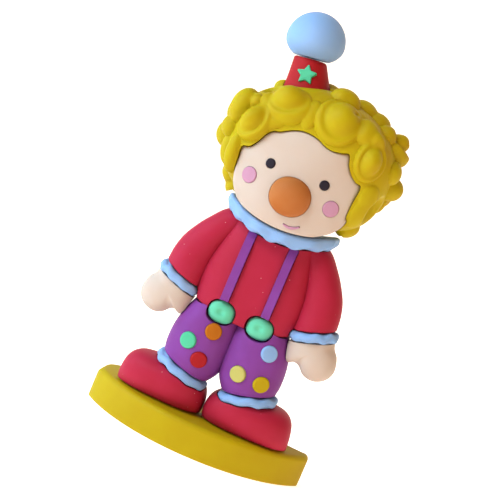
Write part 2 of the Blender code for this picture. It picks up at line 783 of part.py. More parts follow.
# Outline of the face from the front: x and height over the head's middle, as shares of the half width.
# It runs anticlockwise from the right-hand corner over the scalloped hairline and back under the chin.
FACE_OUTLINE = (
    (0.96, -0.16), (0.86, -0.12), (0.74, -0.02), (0.66, 0.10), (0.61, 0.24), (0.50, 0.215),
    (0.36, 0.19), (0.22, 0.21), (0.08, 0.27), (-0.08, 0.30), (-0.22, 0.29), (-0.37, 0.235),
    (-0.52, 0.15), (-0.62, 0.12), (-0.71, 0.03), (-0.78, -0.11), (-0.88, -0.24), (-1.00, -0.29),
    (-0.995, -0.46), (-0.98, -0.68), (-0.93, -0.86), (-0.83, -1.01), (-0.69, -1.12), (-0.50, -1.205),
    (-0.26, -1.265), (0.00, -CHIN_SHARE), (0.26, -1.265), (0.50, -1.20), (0.67, -1.11), (0.82, -1.00),
    (0.92, -0.86), (0.955, -0.74), (0.925, -0.67), (0.94, -0.42),
)


def face_outline():
    scale = FACE_HALF_WIDTH
    return [Vector((x * scale, HEAD_Z + z * scale, 0.0)) for x, z in FACE_OUTLINE]


def face_depth(x, z):
    """How far in front of the figure's middle the face lies at a place."""
    across = x / FACE_HALF_WIDTH
    up = (z - HEAD_Z + 0.40 * FACE_HALF_WIDTH) / FACE_HALF_WIDTH
    return FACE_FRONT - FACE_DOME_ACROSS * abs(across) ** 2.2 - FACE_DOME_UP * abs(up) ** 2.2


def face(grow=0.0):
    """A plug with the face's outline, flat behind and domed in front."""
    outline = inset(face_outline(), -grow)
    if grow:
        rings = [raised(outline, FACE_BACK - grow), raised(outline, 2 * FACE_FRONT)]
    else:
        centre = Vector((0.0, HEAD_Z - 0.5 * FACE_HALF_WIDTH, 0.0))
        rings = [raised(inset(outline, EDGE / 2), FACE_BACK), raised(outline, FACE_BACK + EDGE / 2)]
        for step, share in ((0.0, 1.0), (1.0, 1.0), (1.0, 0.72), (1.0, 0.38)):
            ring = scaled(inset(outline, FACE_EDGE * step), centre, share)
            for point in ring:
                point.z = face_depth(point.x, point.y) - FACE_EDGE * (1 - step)
            rings.append(ring)
        rings.append([Vector((*centre.xy, face_depth(*centre.xy)))])
    return skin(place(rings, Matrix.Rotation(math.pi / 2, 4, "X")))


# Lobes of the hair, as the figure's front shows them: x and height from the head's middle, half width and
# half height, in millimetres; turn in degrees; height as a share of a curl's
FRONT_LOBES = (
    (-16.9, 4.6, 2.0, 4.6, -5, 1.00),
    (-19.6, 2.9, 1.5, 3.8, 0, 1.00),
    (-15.2, 6.2, 2.0, 1.8, 0, 0.35),
    (-12.9, 1.8, 3.5, 4.6, -30, 0.80),
    (-12.4, 7.4, 1.6, 2.0, 0, 0.30),
    (-17.9, -0.9, 2.2, 2.6, 0, 0.80),
    (-19.3, -3.0, 2.2, 3.3, 0, 1.15),
    (-17.2, -6.2, 1.4, 3.6, 10, 0.40),
    (-14.9, -6.4, 1.4, 5.0, 5, 0.60),
    (-15.2, -11.4, 2.4, 3.0, 20, 0.60),
    (-13.3, -13.6, 2.6, 2.7, 0, 1.05),
    (-7.6, 8.2, 4.8, 4.6, 10, 0.75),
    (-11.8, 11.2, 2.0, 1.8, 0, 0.55),
    (-9.4, 3.4, 4.0, 1.6, 35, 0.35),
    (-2.4, 8.0, 1.8, 3.6, 0, 0.30),
    (3.5, 8.9, 5.2, 5.4, 0, 0.85),
    (2.6, 13.6, 3.4, 2.4, 0, 0.80),
    (7.2, 13.6, 3.2, 2.4, 0, 0.75),
    (11.2, 12.0, 3.0, 2.8, 0, 0.80),
    (13.4, 10.0, 1.9, 2.9, 20, 0.75),
    (9.8, 9.0, 2.9, 3.3, 20, 0.60),
    (12.3, 7.6, 1.6, 2.8, 35, 0.75),
    (12.8, 3.8, 3.4, 4.6, 0, 0.80),
    (16.8, 8.0, 3.6, 3.8, 0, 1.20),
    (18.0, 3.2, 2.6, 2.6, 0, 0.60),
    (18.6, -0.2, 3.1, 2.7, 0, 1.05),
    (15.6, -3.6, 2.4, 3.0, 0, 0.20),
    (15.0, -8.2, 2.2, 4.6, 0, 0.20),
    (13.8, -12.4, 2.6, 3.0, 0, 0.60),
)
# Buds in the middle of the rosettes, in the same form; each has a groove pressed round it
FRONT_BUDS = (
    (-13.4, 2.4, 2.1, 3.0, -25, 0.95),
    (-8.2, 9.4, 3.6, 2.7, 15, 0.95),
    (4.0, 9.6, 3.4, 3.6, 0, 1.00),
    (12.9, 3.6, 1.9, 2.9, 0, 0.90),
    (16.6, 9.6, 2.4, 2.0, 0, 1.25),
)
# Hollows between the lobes, in the same form
FRONT_HOLLOWS = (
    (17.6, -6.0, 4.2, 4.4, 0, 1.35),
    (-17.6, -8.2, 2.0, 2.6, 0, 0.25),
    (-13.1, 9.6, 2.2, 2.2, 0, 0.75),
    (5.9, 10.9, 0.7, 1.3, -55, 0.28),
)
MILLIMETRE = 0.001
# Rows of rosettes round the back and top: height as a share of the head's, rosettes in the row, half size,
# height as a share of a curl's
BACK_ROWS = (
    (0.97, 1, 4.0, 0.50),
    (0.72, 4, 4.2, 0.60),
    (0.30, 5, 4.4, 0.80),
    (-0.14, 5, 4.2, 0.75),
    (-0.55, 5, 4.0, 0.65),
)


def head_power(up):
    """Boxiness of the head's front view at a height from -1, its underside, to 1, its top."""
    return HEAD_POWER_BOTTOM + (HEAD_POWER_TOP - HEAD_POWER_BOTTOM) * (1 + up) / 2


def bare_head(directions):
    """Points of the plain pillow-shaped head in the given directions, and the outward directions there."""
    across, ahead, up = np.abs(directions).T
    power = head_power(directions[:, 2])
    flat = (across ** power + up ** power) ** (1 / power)
    full = (flat ** HEAD_PILLOW + ahead ** HEAD_PILLOW) ** (-1 / HEAD_PILLOW)
    sizes = np.array((HEAD_HALF_WIDTH, HEAD_HALF_DEPTH, HEAD_HALF_HEIGHT))
    lean = np.maximum(flat, 0.001) ** (HEAD_PILLOW - power)
    slopes = np.stack((across ** (power - 1) * lean, ahead ** (HEAD_PILLOW - 1), up ** (power - 1) * lean), 1)
    outward = np.sign(directions) * slopes / sizes
    return directions * full[:, None] * sizes, outward / np.linalg.norm(outward, axis=1)[:, None]


def curl_list(rows):
    """Each curl as its middle on the plain head, half width and height in metres, turn and height share."""
    curls = []
    for x, z, half_width, half_height, turn, share in rows:
        across, up = x * MILLIMETRE / HEAD_HALF_WIDTH, z * MILLIMETRE / HEAD_HALF_HEIGHT
        power = head_power(max(-1.0, min(1.0, up)))
        flat = max(1.0, (abs(across) ** power + abs(up) ** power) ** (1 / power))
        across, up = across / flat, up / flat
        flat = (abs(across) ** power + abs(up) ** power) ** (1 / power)
        ahead = max(0.0, 1 - flat ** HEAD_PILLOW) ** (1 / HEAD_PILLOW)
        middle = np.array((across * HEAD_HALF_WIDTH, -ahead * HEAD_HALF_DEPTH, up * HEAD_HALF_HEIGHT))
        curls.append((middle, half_width * MILLIMETRE, half_height * MILLIMETRE, math.radians(turn), share))
    return curls


def back_curls(size, lift):
    """Plainer curls in rows round the top and back of the head, in the same form as the front ones."""
    curls = []
    for row, (up, count, half, share) in enumerate(BACK_ROWS):
        for i in range(count):
            angle = BACK_START + (math.pi - 2 * BACK_START) * (i + 0.5 + 0.25 * (-1) ** row) / count
            flat = math.sqrt(1 - up * up)
            direction = np.array(((flat * math.cos(angle), flat * math.sin(angle), up),))
            half_size = size * half * MILLIMETRE * (1 + BACK_VARIETY * math.cos(BACK_BEAT * (i + row)))
            curls.append((bare_head(direction)[0][0], half_size, half_size, 0.0, share + lift))
    return curls


def curl_reach(points, curl):
    """Distance of each point of the plain head from a curl's middle, as a share of the curl's own size."""
    middle, half_width, half_height, turn, _ = curl
    x, y, z = (points - middle).T
    across = (x * math.cos(turn) + z * math.sin(turn)) / half_width
    along = (z * math.cos(turn) - x * math.sin(turn)) / half_height
    deep = y * 2 / (half_width + half_height)
    return np.sqrt(across ** 2 + along ** 2 + deep ** 2)


def curl_bumps(points):
    """Height of the curls over the points of the plain head, with soft valleys between them."""
    total = np.zeros(len(points))
    for curl in curl_list(FRONT_LOBES) + back_curls(1.0, 0.0):
        dome = np.clip(1 - curl_reach(points, curl) ** 2, 0, 1) ** CURL_ROUNDNESS
        total += (curl[-1] * dome) ** CURL_BLEND
    for bud in curl_list(FRONT_BUDS) + back_curls(BACK_BUD_SIZE, BACK_BUD_LIFT):
        reach = curl_reach(points, bud)
        groove = 1 - CURL_GROOVE * np.exp(-((reach - 1.1) / GROOVE_WIDTH) ** 2)
        dome = np.clip(1 - reach ** 2, 0, 1) ** BUD_ROUNDNESS
        total = total * groove ** CURL_BLEND + (bud[-1] * dome) ** CURL_BLEND
    height = total ** (1 / CURL_BLEND)
    for hollow in curl_list(FRONT_HOLLOWS):
        height -= hollow[-1] * np.clip(1 - curl_reach(points, hollow) ** 2, 0, 1) ** 2
    return CURL_HEIGHT * height


def hair_ball():
    """The head's whole round mass of curls, before the face and the hat are let into it."""
    bm = bmesh.new()
    bmesh.ops.create_icosphere(bm, subdivisions=6, radius=1.0)
    points, outward = bare_head(np.array([vert.co[:] for vert in bm.verts]))
    points = points + outward * curl_bumps(points)[:, None]
    for vert, point in zip(bm.verts, points):
        vert.co = Vector(point) + Vector((0.0, HEAD_BACK, HEAD_Z))
    return bm


def thinned(piece, faces):
    """The same form with fewer faces, which stay where it bends most."""
    decimate = piece.modifiers.new("thin", "DECIMATE")
    decimate.ratio = faces / len(piece.data.polygons)
    evaluated = piece.evaluated_get(bpy.context.evaluated_depsgraph_get())
    result = bpy.data.meshes.new_from_object(evaluated)
    piece.modifiers.clear()
    piece.data = result
    return piece


def hat_matrix():
    return Matrix.Translation((HAT_X, 0.0, HEAD_Z + HEAD_HALF_HEIGHT - HAT_SINK)) @ Matrix.Rotation(
        -math.radians(HAT_TILT), 4, "Y")


def hat(grow=0.0):
    """A cone cut short, leaning to the left."""
    rings = [raised(oval(HAT_RADIUS + grow, HAT_RADIUS + grow, 2.0, 20), -grow)]
    for share in (0.3, 0.95, 1.0):
        radius = HAT_RADIUS + (HAT_TOP_RADIUS - HAT_RADIUS) * share ** 0.8 + grow
        radius -= EDGE if share == 1.0 else 0.0
        ring = oval(radius, radius, 2.0, 20)
        lean = Vector((-HAT_LEAN * share, 0.0, share * (HAT_HEIGHT + grow)))
        rings.append([point + lean for point in ring])
    return skin(place(rings, hat_matrix()))


def pompon():
    """A squashed ball with a small flat seat on the hat."""
    seat = HAT_TOP_RADIUS + EDGE
    rise = POMPON_RADIUS * POMPON_SQUASH
    start = math.asin(min(0.95, seat / POMPON_RADIUS))
    middle = rise * math.cos(start)
    steps = 8
    rings = []
    for step in range(steps):
        angle = math.pi - start - (math.pi - start) * step / steps
        radius = POMPON_RADIUS * math.sin(angle)
        height = middle + (POMPON_HEIGHT - middle if angle < math.pi / 2 else middle) * math.cos(angle)
        ring = oval(radius, radius, 2.0, 20)
        rings.append(raised(ring, height))
    rings.append([Vector((0.0, 0.0, POMPON_HEIGHT))])
    lift = Matrix.Translation((-HAT_LEAN, 0.0, HAT_HEIGHT + GAP))
    lowest = min(point.z for ring in rings for point in ring)
    return skin(place(rings, hat_matrix() @ lift @ Matrix.Translation((0.0, 0.0, -lowest))))


def star_outline():
    points = []
    for i in range(10):
        angle = math.radians(90 + STAR_TURN + 36 * i)
        radius = STAR_RADIUS if i % 2 == 0 else 0.52 * STAR_RADIUS
        points.append(radius * Vector((math.cos(angle), math.sin(angle), 0.0)))
    result = []
    for i, point in enumerate(points):
        before, after = points[i - 1], points[(i + 1) % 10]
        if i % 2 == 0:
            result += [point.lerp(before, 0.14), point.lerp(after, 0.14)]
        else:
            result.append(point)
    return result


# Middle line of the mouth and the places of the eyes and cheeks: x and height, the places from the head's
# middle, as shares of the face's half width; then the radius and colour
MOUTH_LINE = ((-0.133, -0.015), (-0.044, -0.033), (0.044, -0.012), (0.126, 0.041))
MOUTH_PLACE = (0.216, -1.13)
FEATURES = {
    "eye_left": (-0.460, -0.350, EYE_RADIUS, "plum"),
    "eye_right": (0.450, -0.337, EYE_RADIUS, "plum"),
    "cheek_left": (-0.712, -0.648, CHEEK_RADIUS, "pink"),
    "cheek_right": (0.676, -0.641, CHEEK_RADIUS, "pink"),
}


def mouth_outline():
    """A thin smile to one side: an arc with tapered ends."""
    line = [point * FACE_HALF_WIDTH for point in smooth_rows(MOUTH_LINE, 2)]
    upper, lower = [], []
    for i, (x, y) in enumerate(line):
        half = MOUTH_THICKNESS / 2 * (0.35 + 0.65 * math.sin(math.pi * (i + 0.6) / (len(line) + 0.2)))
        ahead = line[min(i + 1, len(line) - 1)] - line[max(i - 1, 0)]
        across = Vector((-ahead[1], ahead[0], 0.0)).normalized() * half
        upper.append(Vector((x, y, 0.0)) + across)
        lower.append(Vector((x, y, 0.0)) - across)
    return lower + upper[::-1]


def make_nose(face_piece):
    """A large flattened ball let into the face."""
    matrix = seat_matrix(face_piece, FRONT_SHIFT, HEAD_Z - NOSE_DROP * FACE_HALF_WIDTH, NOSE_HALF_WIDTH / 2)
    outline = oval(NOSE_HALF_WIDTH, NOSE_HALF_HEIGHT, 2.1, 20)
    rings = [raised(inset(outline, EDGE), -2 * INLAY_THICKNESS), raised(outline, EDGE - 2 * INLAY_THICKNESS)]
    for share in (1.0, 0.92, 0.74, 0.42):
        height = NOSE_PROUD * (1 - share ** 2.2) ** 0.5
        rings.append(raised(scaled(outline, Vector(), share), height - INLAY_THICKNESS / 2))
    rings.append([Vector((0.0, 0.0, NOSE_PROUD - INLAY_THICKNESS / 2))])
    recess = [raised(inset(outline, -GAP), height) for height in (-2 * INLAY_THICKNESS - GAP, NOSE_PROUD * 3)]
    nose = add_object("nose", skin(place(rings, matrix)), "orange")
    cut(face_piece, add_object("recess", skin(place(recess, matrix))))
    return nose


def make_face_inlays(face_piece):
    """Lets the eyes, the cheeks and the mouth into the face."""
    for name, (x, z, radius, colour) in FEATURES.items():
        matrix = seat_matrix(face_piece, x * FACE_HALF_WIDTH, HEAD_Z + z * FACE_HALF_WIDTH, radius / 2)
        inlay(name, [face_piece], matrix, oval(radius, radius, 2.0, 12), colour, INLAY_THICKNESS, INLAY_PROUD,
              INLAY_PROUD)
    x, z = MOUTH_PLACE
    matrix = seat_matrix(face_piece, x * FACE_HALF_WIDTH, HEAD_Z + z * FACE_HALF_WIDTH, MOUTH_THICKNESS)
    inlay("mouth", [face_piece], matrix, mouth_outline(), "pink", INLAY_THICKNESS, INLAY_PROUD,
          INLAY_PROUD / 2)


def finish_pieces():
    """Shades the round forms smooth and hangs every piece on one empty at the origin."""
    root = bpy.data.objects.new("figurine", None)
    bpy.context.scene.collection.objects.link(root)
    for obj in list(bpy.context.scene.collection.objects):
        if obj.type != "MESH" or obj.hide_render:
            continue
        corners = np.array([vert.co[:] for vert in obj.data.vertices])
        anchor = Vector((corners.min(axis=0) + corners.max(axis=0)) / 2)
        obj.data.transform(Matrix.Translation(-anchor))
        obj.location = anchor
        obj.parent = root
        obj.data.shade_smooth()
        obj.data.set_sharp_from_angle(angle=math.radians(40))


def build():
    remove_all_objects()
    make_base()
    make_shoe("shoe_left", -1)
    make_shoe("shoe_right", 1)
    add_object("trouser_cuff_left", ankle_cuff(-1), "sky")
    add_object("trouser_cuff_right", ankle_cuff(1), "sky")

    trousers = legs()
    trousers.name = "trousers"
    trousers.hide_render = False
    trousers.data.materials.append(make_material("purple"))
    cut(trousers, add_object("hem_seat", torso(GAP)))

    shirt = add_object("shirt", torso(), "crimson")
    join(shirt, add_object("sleeve", sleeve(-1)), add_object("sleeve", sleeve(1)))
    cut(shirt, add_object("collar_seat", collar(GAP + COLLAR_WAVE)))
    cut(shirt, add_object("wrist_seat", wrist_cuff(-1, GAP)), add_object("wrist_seat", wrist_cuff(1, GAP)))

    for name, side in (("left", -1), ("right", 1)):
        add_object("sleeve_cuff_" + name, wrist_cuff(side), "sky")
        mitten = add_object("hand_" + name, hand(side), "skin")
        cut(mitten, above_wrist(side), legs(GAP), add_object("hem_seat", torso(GAP)))

    lines = {}
    for name, side in (("left", -1), ("right", 1)):
        lines[name] = strap_line(shirt, side * STRAP_X + FRONT_SHIFT)
    for name, line in lines.items():
        cut(shirt, add_object("groove", strap(line, GAP)))
    for name, side in (("left", -1), ("right", 1)):
        strap_piece = add_object("suspender_" + name, strap(lines[name]), "purple")
        cut(strap_piece, add_object("collar_seat", collar(GAP + COLLAR_WAVE)))
        make_button("button_" + name, side * BUTTON_X + FRONT_SHIFT, [shirt, trousers, strap_piece])
    make_dots(trousers)

    add_object("collar", collar(), "sky")
    face_piece = add_object("face", face(), "skin")
    cut(face_piece, neck_block("neck"))
    hair = thinned(add_object("hair", hair_ball(), "hair"), HAIR_FACES)
    cut(hair, neck_block("neck"), add_object("face_seat", face(GAP)), add_object("hat_seat", hat(GAP)))
    make_nose(face_piece)
    make_face_inlays(face_piece)

    hat_piece = add_object("hat", hat(), "red")
    matrix = seat_matrix(hat_piece, STAR_X, hat_matrix().translation.z + STAR_UP, 0.0)
    inlay("star", [hat_piece], matrix, star_outline(), "mint", STAR_THICKNESS, STAR_PROUD, STAR_PROUD / 2)
    add_object("pompon", pompon(), "sky")
    finish_pieces()


build()
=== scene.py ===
# %% [markdown]
# # A moulded clown figurine
# The real thing is cast from soft PVC, one pour for each colour, and the pours meet in fine seams. This
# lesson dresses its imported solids: every piece is built again, finer, in the same place, and gets a matte
# moulded finish.

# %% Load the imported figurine
import json
import math

import bmesh
import bpy
import numpy as np
from mathutils import Matrix, Vector
from mathutils.bvhtree import BVHTree


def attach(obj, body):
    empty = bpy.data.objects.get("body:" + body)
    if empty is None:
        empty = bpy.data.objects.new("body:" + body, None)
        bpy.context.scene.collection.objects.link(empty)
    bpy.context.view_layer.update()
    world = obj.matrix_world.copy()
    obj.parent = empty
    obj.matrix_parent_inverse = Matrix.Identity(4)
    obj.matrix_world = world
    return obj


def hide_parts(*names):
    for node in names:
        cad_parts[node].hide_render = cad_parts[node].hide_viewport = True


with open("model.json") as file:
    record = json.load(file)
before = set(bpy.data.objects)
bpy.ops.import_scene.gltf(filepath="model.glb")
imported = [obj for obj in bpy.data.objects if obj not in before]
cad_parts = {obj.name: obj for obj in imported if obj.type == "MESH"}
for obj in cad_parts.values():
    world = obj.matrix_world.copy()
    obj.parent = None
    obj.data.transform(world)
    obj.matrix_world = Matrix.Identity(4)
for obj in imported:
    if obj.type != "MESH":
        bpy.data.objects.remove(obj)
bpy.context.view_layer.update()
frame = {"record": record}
slot_of = {part["node"]: part["material_slot"] for part in frame["record"]["subparts"]}

# %% [markdown]
# The photograph was taken from a little to the right of the figure and a little above its waist, with the
# camera turned on its side by a quarter of a right angle. A camera's own rotation about its line of
# sight, its roll, gives that lean, so the figure itself stays upright on its plate.

# %% Camera
VIEW_AZIMUTH = math.radians(6.5)
VIEW_ELEVATION = math.radians(6.5)
VIEW_ROLL = math.radians(22.9)
VIEW_DISTANCE = 0.300
VIEW_AIM = Vector((-0.00435, 0.0, 0.0460))
SENSOR_WIDTH = 36.0
VIEW_LENS = 98.5
back = Vector((math.sin(VIEW_AZIMUTH) * math.cos(VIEW_ELEVATION),
               -math.cos(VIEW_AZIMUTH) * math.cos(VIEW_ELEVATION), math.sin(VIEW_ELEVATION)))
camera = bpy.data.objects.new("camera", bpy.data.cameras.new("camera"))
camera.data.sensor_width = SENSOR_WIDTH
camera.data.lens = VIEW_LENS
camera.data.clip_start = 0.01
camera.matrix_world = (Matrix.Translation(VIEW_AIM + back * VIEW_DISTANCE)
                       @ (-back).to_track_quat("-Z", "Y").to_matrix().to_4x4()
                       @ Matrix.Rotation(VIEW_ROLL, 4, "Z"))
bpy.context.scene.collection.objects.link(camera)
bpy.context.scene.camera = camera
bpy.context.scene.view_settings.view_transform = "Standard"
print("camera at", [round(value, 4) for value in camera.location])

# %% [markdown]
# A figurine this small is photographed on a sheet of white card that curves up behind it, so no horizon
# shows. A plain plane would end in a hard line. A strip of profile points, flat and then bent up along an
# arc, makes the card as one smooth sheet. It glows a little, as card does with a lamp behind it, so it
# stays white far back.

# %% White card
CARD_HALF = 3.0
CARD_DEPTH = 0.9
CARD_BEND = 0.6
CARD_GLOW = 0.90
CARD_STEPS = 16


def add_form(name, bm):
    """Turns a bmesh into an object of the scene."""
    mesh = bpy.data.meshes.new(name)
    bm.to_mesh(mesh)
    bm.free()
    form = bpy.data.objects.new(name, mesh)
    bpy.context.scene.collection.objects.link(form)
    return form


def set_inputs(node, **values):
    """Sets a node's sockets by their names, with an underscore for each space."""
    for name, value in values.items():
        node.inputs[name.replace("_", " ")].default_value = value


profile = [(-CARD_HALF, 0.0), (CARD_DEPTH, 0.0)]
for step in range(1, CARD_STEPS + 1):
    angle = math.pi / 2 * step / CARD_STEPS
    profile.append((CARD_DEPTH + CARD_BEND * math.sin(angle), CARD_BEND * (1 - math.cos(angle))))
profile.append((CARD_DEPTH + CARD_BEND, CARD_HALF))
bm = bmesh.new()
edges = [[bm.verts.new((x, y, z)) for x in (-CARD_HALF, CARD_HALF)] for y, z in profile]
for low, high in zip(edges, edges[1:]):
    bm.faces.new((low[0], low[1], high[1], high[0]))
card = add_form("card", bm)
card.data.shade_smooth()
paper = bpy.data.materials.new("white_card")
paper.use_nodes = True
set_inputs(paper.node_tree.nodes["Principled BSDF"], Base_Color=(0.86, 0.86, 0.86, 1.0), Roughness=0.9,
           Emission_Color=(1.0, 0.86, 0.74, 1.0), Emission_Strength=CARD_GLOW)
card.data.materials.append(paper)
print("card of", len(card.data.polygons), "strips")

# %% [markdown]
# The light is a big soft source from the upper left, near the camera, with a cool one low on the left and
# a weak warm one from the right: the left sides are pale and cool, the right sides deep and warm, and no
# shadow is hard. Large area lights do that, and a dim warm world fills what they leave. Past the card one
# sees a pale wall: the world is shown brighter than it shines, so that it doesn't flatten the forms.

# %% Lights
LIT_POINT = Vector((0.0, 0.0, 0.05))


def link(tree, start, socket, end, target):
    tree.links.new(start.outputs[socket], end.inputs[target])


def soft_light(name, place_at, size, power, colour):
    lamp = bpy.data.lights.new(name, "AREA")
    lamp.shape = "DISK"
    lamp.size = size
    lamp.energy = power
    lamp.color = colour
    light = bpy.data.objects.new(name, lamp)
    light.location = place_at
    light.rotation_euler = (LIT_POINT - light.location).to_track_quat("-Z", "Y").to_euler()
    bpy.context.scene.collection.objects.link(light)


soft_light("key", (-0.42, -0.45, 0.50), 0.35, 4.2, (0.90, 0.97, 1.0))
soft_light("fill", (0.55, -0.45, 0.12), 0.50, 1.7, (1.0, 0.62, 0.26))
soft_light("window", (-0.60, -0.16, 0.16), 0.60, 4.6, (0.50, 0.80, 1.0))
world = bpy.data.worlds.new("studio")
world.use_nodes = True
room = world.node_tree
glow = room.nodes["Background"]
set_inputs(glow, Color=(1.0, 0.82, 0.62, 1.0), Strength=0.24)
wall = room.nodes.new("ShaderNodeBackground")
set_inputs(wall, Color=(1.0, 0.97, 0.93, 1.0))
choose = room.nodes.new("ShaderNodeMixShader")
link(room, room.nodes.new("ShaderNodeLightPath"), "Is Camera Ray", choose, "Fac")
link(room, glow, "Background", choose, 1)
link(room, wall, "Background", choose, 2)
link(room, choose, "Shader", room.nodes["World Output"], "Surface")
bpy.context.scene.world = world

# %% [markdown]
# Soft PVC is coloured right through and comes matte from the mould. Its colour clouds a little where the
# pigment was stirred, its surface has a fine tooth, and light goes a fraction of a millimetre into it.
# One function mixes such a finish from two near colours: large soft noise for the clouds, fine noise for
# the tooth, and a few pale specks of dust, all in the object's own space so that they stay put in every
# view.

# %% Moulded PVC finish
CLOUD_SIZE = 90.0
CLOUD_EDGES = (0.35, 0.68)
TOOTH_SIZE = 5200.0
TOOTH_STRENGTH = 0.10
TOOTH_DEPTH = 0.00003
DUST_SIZE = 520.0
DUST_REACH = (0.035, 0.060)
DUST_COLOUR = (0.80, 0.62, 0.62, 1.0)
SKIN_DEPTH = 0.0006
# Colour and shade of each pour; where they aren't the usual ones, its roughness and then its dust
POURS = {
    "mustard_pvc": ((0.42, 0.31, 0.003), (0.39, 0.27, 0.002)),
    "crimson_pvc": ((0.38, 0.016, 0.048), (0.34, 0.012, 0.035), 0.55, 0.45),
    "light_blue_pvc": ((0.23, 0.37, 0.63), (0.20, 0.34, 0.60)),
    "purple_pvc": ((0.20, 0.045, 0.27), (0.17, 0.034, 0.21)),
    "orange_pvc": ((0.41, 0.125, 0.006), (0.38, 0.11, 0.005)),
    "mint_pvc": ((0.08, 0.45, 0.26), (0.06, 0.40, 0.23)),
    "red_pvc": ((0.34, 0.010, 0.014), (0.30, 0.008, 0.011)),
    "cream_pvc": ((0.44, 0.40, 0.12), (0.41, 0.37, 0.10)),
    "skin_pvc": ((0.51, 0.42, 0.37), (0.49, 0.385, 0.325)),
    "green_pvc": ((0.13, 0.52, 0.35), (0.10, 0.47, 0.30), 0.42),
    "nose_pvc": ((0.40, 0.145, 0.045), (0.37, 0.11, 0.020)),
    "dark_pvc": ((0.022, 0.016, 0.026), (0.016, 0.012, 0.020), 0.40),
    "pink_pvc": ((0.45, 0.23, 0.34), (0.43, 0.21, 0.31)),
    "hair_pvc": ((0.41, 0.32, 0.003), (0.38, 0.26, 0.002)),
}


def soft_pvc(name, colour, shade, roughness=0.55, dust=0.0):
    """A matte moulded finish whose colour drifts from colour to shade."""
    material = bpy.data.materials.new(name)
    material.use_nodes = True
    tree = material.node_tree
    shader = tree.nodes["Principled BSDF"]
    place_on = tree.nodes.new("ShaderNodeTexCoord")

    def add(kind, source, socket, target, **values):
        node = tree.nodes.new("ShaderNode" + kind)
        set_inputs(node, **values)
        link(tree, source, socket, node, target)
        return node

    clouds = add("TexNoise", place_on, "Object", "Vector", Scale=CLOUD_SIZE, Detail=3.0)
    base = add("ValToRGB", clouds, "Fac", "Fac")
    for stop, position, tint in zip(base.color_ramp.elements, CLOUD_EDGES, (shade, colour)):
        stop.position = position
        stop.color = (*tint, 1.0)
    if dust:
        specks = add("TexVoronoi", place_on, "Object", "Vector", Scale=DUST_SIZE)
        near = add("MapRange", specks, "Distance", "Value",
                   From_Min=DUST_REACH[0], From_Max=DUST_REACH[1], To_Min=dust, To_Max=0.0)
        dusty = add("MixRGB", base, "Color", "Color1", Color2=DUST_COLOUR)
        link(tree, near, "Result", dusty, "Fac")
        base = dusty
    link(tree, base, "Color", shader, "Base Color")
    tooth = add("TexNoise", place_on, "Object", "Vector", Scale=TOOTH_SIZE, Detail=2.0)
    bump = add("Bump", tooth, "Fac", "Height", Strength=TOOTH_STRENGTH, Distance=TOOTH_DEPTH)
    link(tree, bump, "Normal", shader, "Normal")
    gloss = add("MapRange", clouds, "Fac", "Value", To_Min=roughness - 0.05, To_Max=roughness + 0.08)
    link(tree, gloss, "Result", shader, "Roughness")
    set_inputs(shader, Specular_IOR_Level=0.11, Subsurface_Weight=0.25, Subsurface_Scale=SKIN_DEPTH,
               Subsurface_Radius=(1.0, 0.45, 0.30))
    return material


finishes = {slot: soft_pvc(slot, *mix) for slot, mix in POURS.items()}
print("finishes:", len(finishes))

# %% [markdown]
# Every piece here is a closed skin stretched over rings of points, like a sculptor's armature of hoops.
# Blender could also grow such forms from subdivided boxes, but hoops keep their sizes exact, and the
# seams between pours need that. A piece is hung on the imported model's body, hides the plain solid it
# stands for and takes its slot.

# %% Rings, skins and pieces
GAP = 0.0003
FINE_GAP = 0.00007
EDGE = 0.0004
SHARP_ANGLE = math.radians(38)
UPRIGHT = Matrix.Rotation(math.pi / 2, 4, "X")


def oval(half_x, half_y, power=2.0, count=96):
    """Points of a superellipse, anticlockwise seen from above; a power over 2 is boxier."""
    points = []
    for i in range(count):
        angle = 2 * math.pi * i / count
        c, s = math.cos(angle), math.sin(angle)
        x = half_x * math.copysign(abs(c) ** (2 / power), c)
        y = half_y * math.copysign(abs(s) ** (2 / power), s)
        points.append(Vector((x, y, 0.0)))
    return points


def raised(points, height):
    return [Vector((point.x, point.y, point.z + height)) for point in points]


def scaled(points, centre, factor):
    return [centre + (point - centre) * factor for point in points]


def place(rings, matrix):
    return [[matrix @ point for point in ring] for ring in rings]


def inset(points, distance):
    """The outline moved inwards by a distance, or outwards where the distance is negative."""
    count = len(points)
    result = []
    for i, point in enumerate(points):
        behind = (point - points[i - 1]).normalized()
        ahead = (points[(i + 1) % count] - point).normalized()
        middle = (behind + ahead).normalized()
        inward = Vector((-middle.y, middle.x, 0.0))
        reach = distance / max(0.5, inward.dot(Vector((-behind.y, behind.x, 0.0))))
        result.append(point + inward * reach)
    return result


def skin(rings):
    """A closed skin through rings of equal length, lowest first; a ring of one point is a tip."""
    bm = bmesh.new()
    rows = [[bm.verts.new(point) for point in ring] for ring in rings]
    for low, high in zip(rows, rows[1:]):
        count = max(len(low), len(high))
        for i in range(count):
            j = (i + 1) % count
            if len(low) == 1:
                bm.faces.new((low[0], high[j], high[i]))
            elif len(high) == 1:
                bm.faces.new((low[i], low[j], high[0]))
            else:
                bm.faces.new((low[i], low[j], high[j], high[i]))
    if len(rows[0]) > 1:
        bm.faces.new(list(reversed(rows[0])))
    if len(rows[-1]) > 1:
        bm.faces.new(rows[-1])
    bmesh.ops.recalc_face_normals(bm, faces=bm.faces)
    bmesh.ops.triangulate(bm, faces=bm.faces)
    return bm


def pour(node, form):
    """Finishes a form as the moulded piece that stands for a solid."""
    form.name = "moulded_" + node
    form.data.materials.clear()
    form.data.materials.append(finishes[slot_of[node]])
    form.data.shade_smooth()
    form.data.set_sharp_from_angle(angle=SHARP_ANGLE)
    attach(form, "root")
    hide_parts(node)
    print(form.name, len(form.data.polygons), "faces")


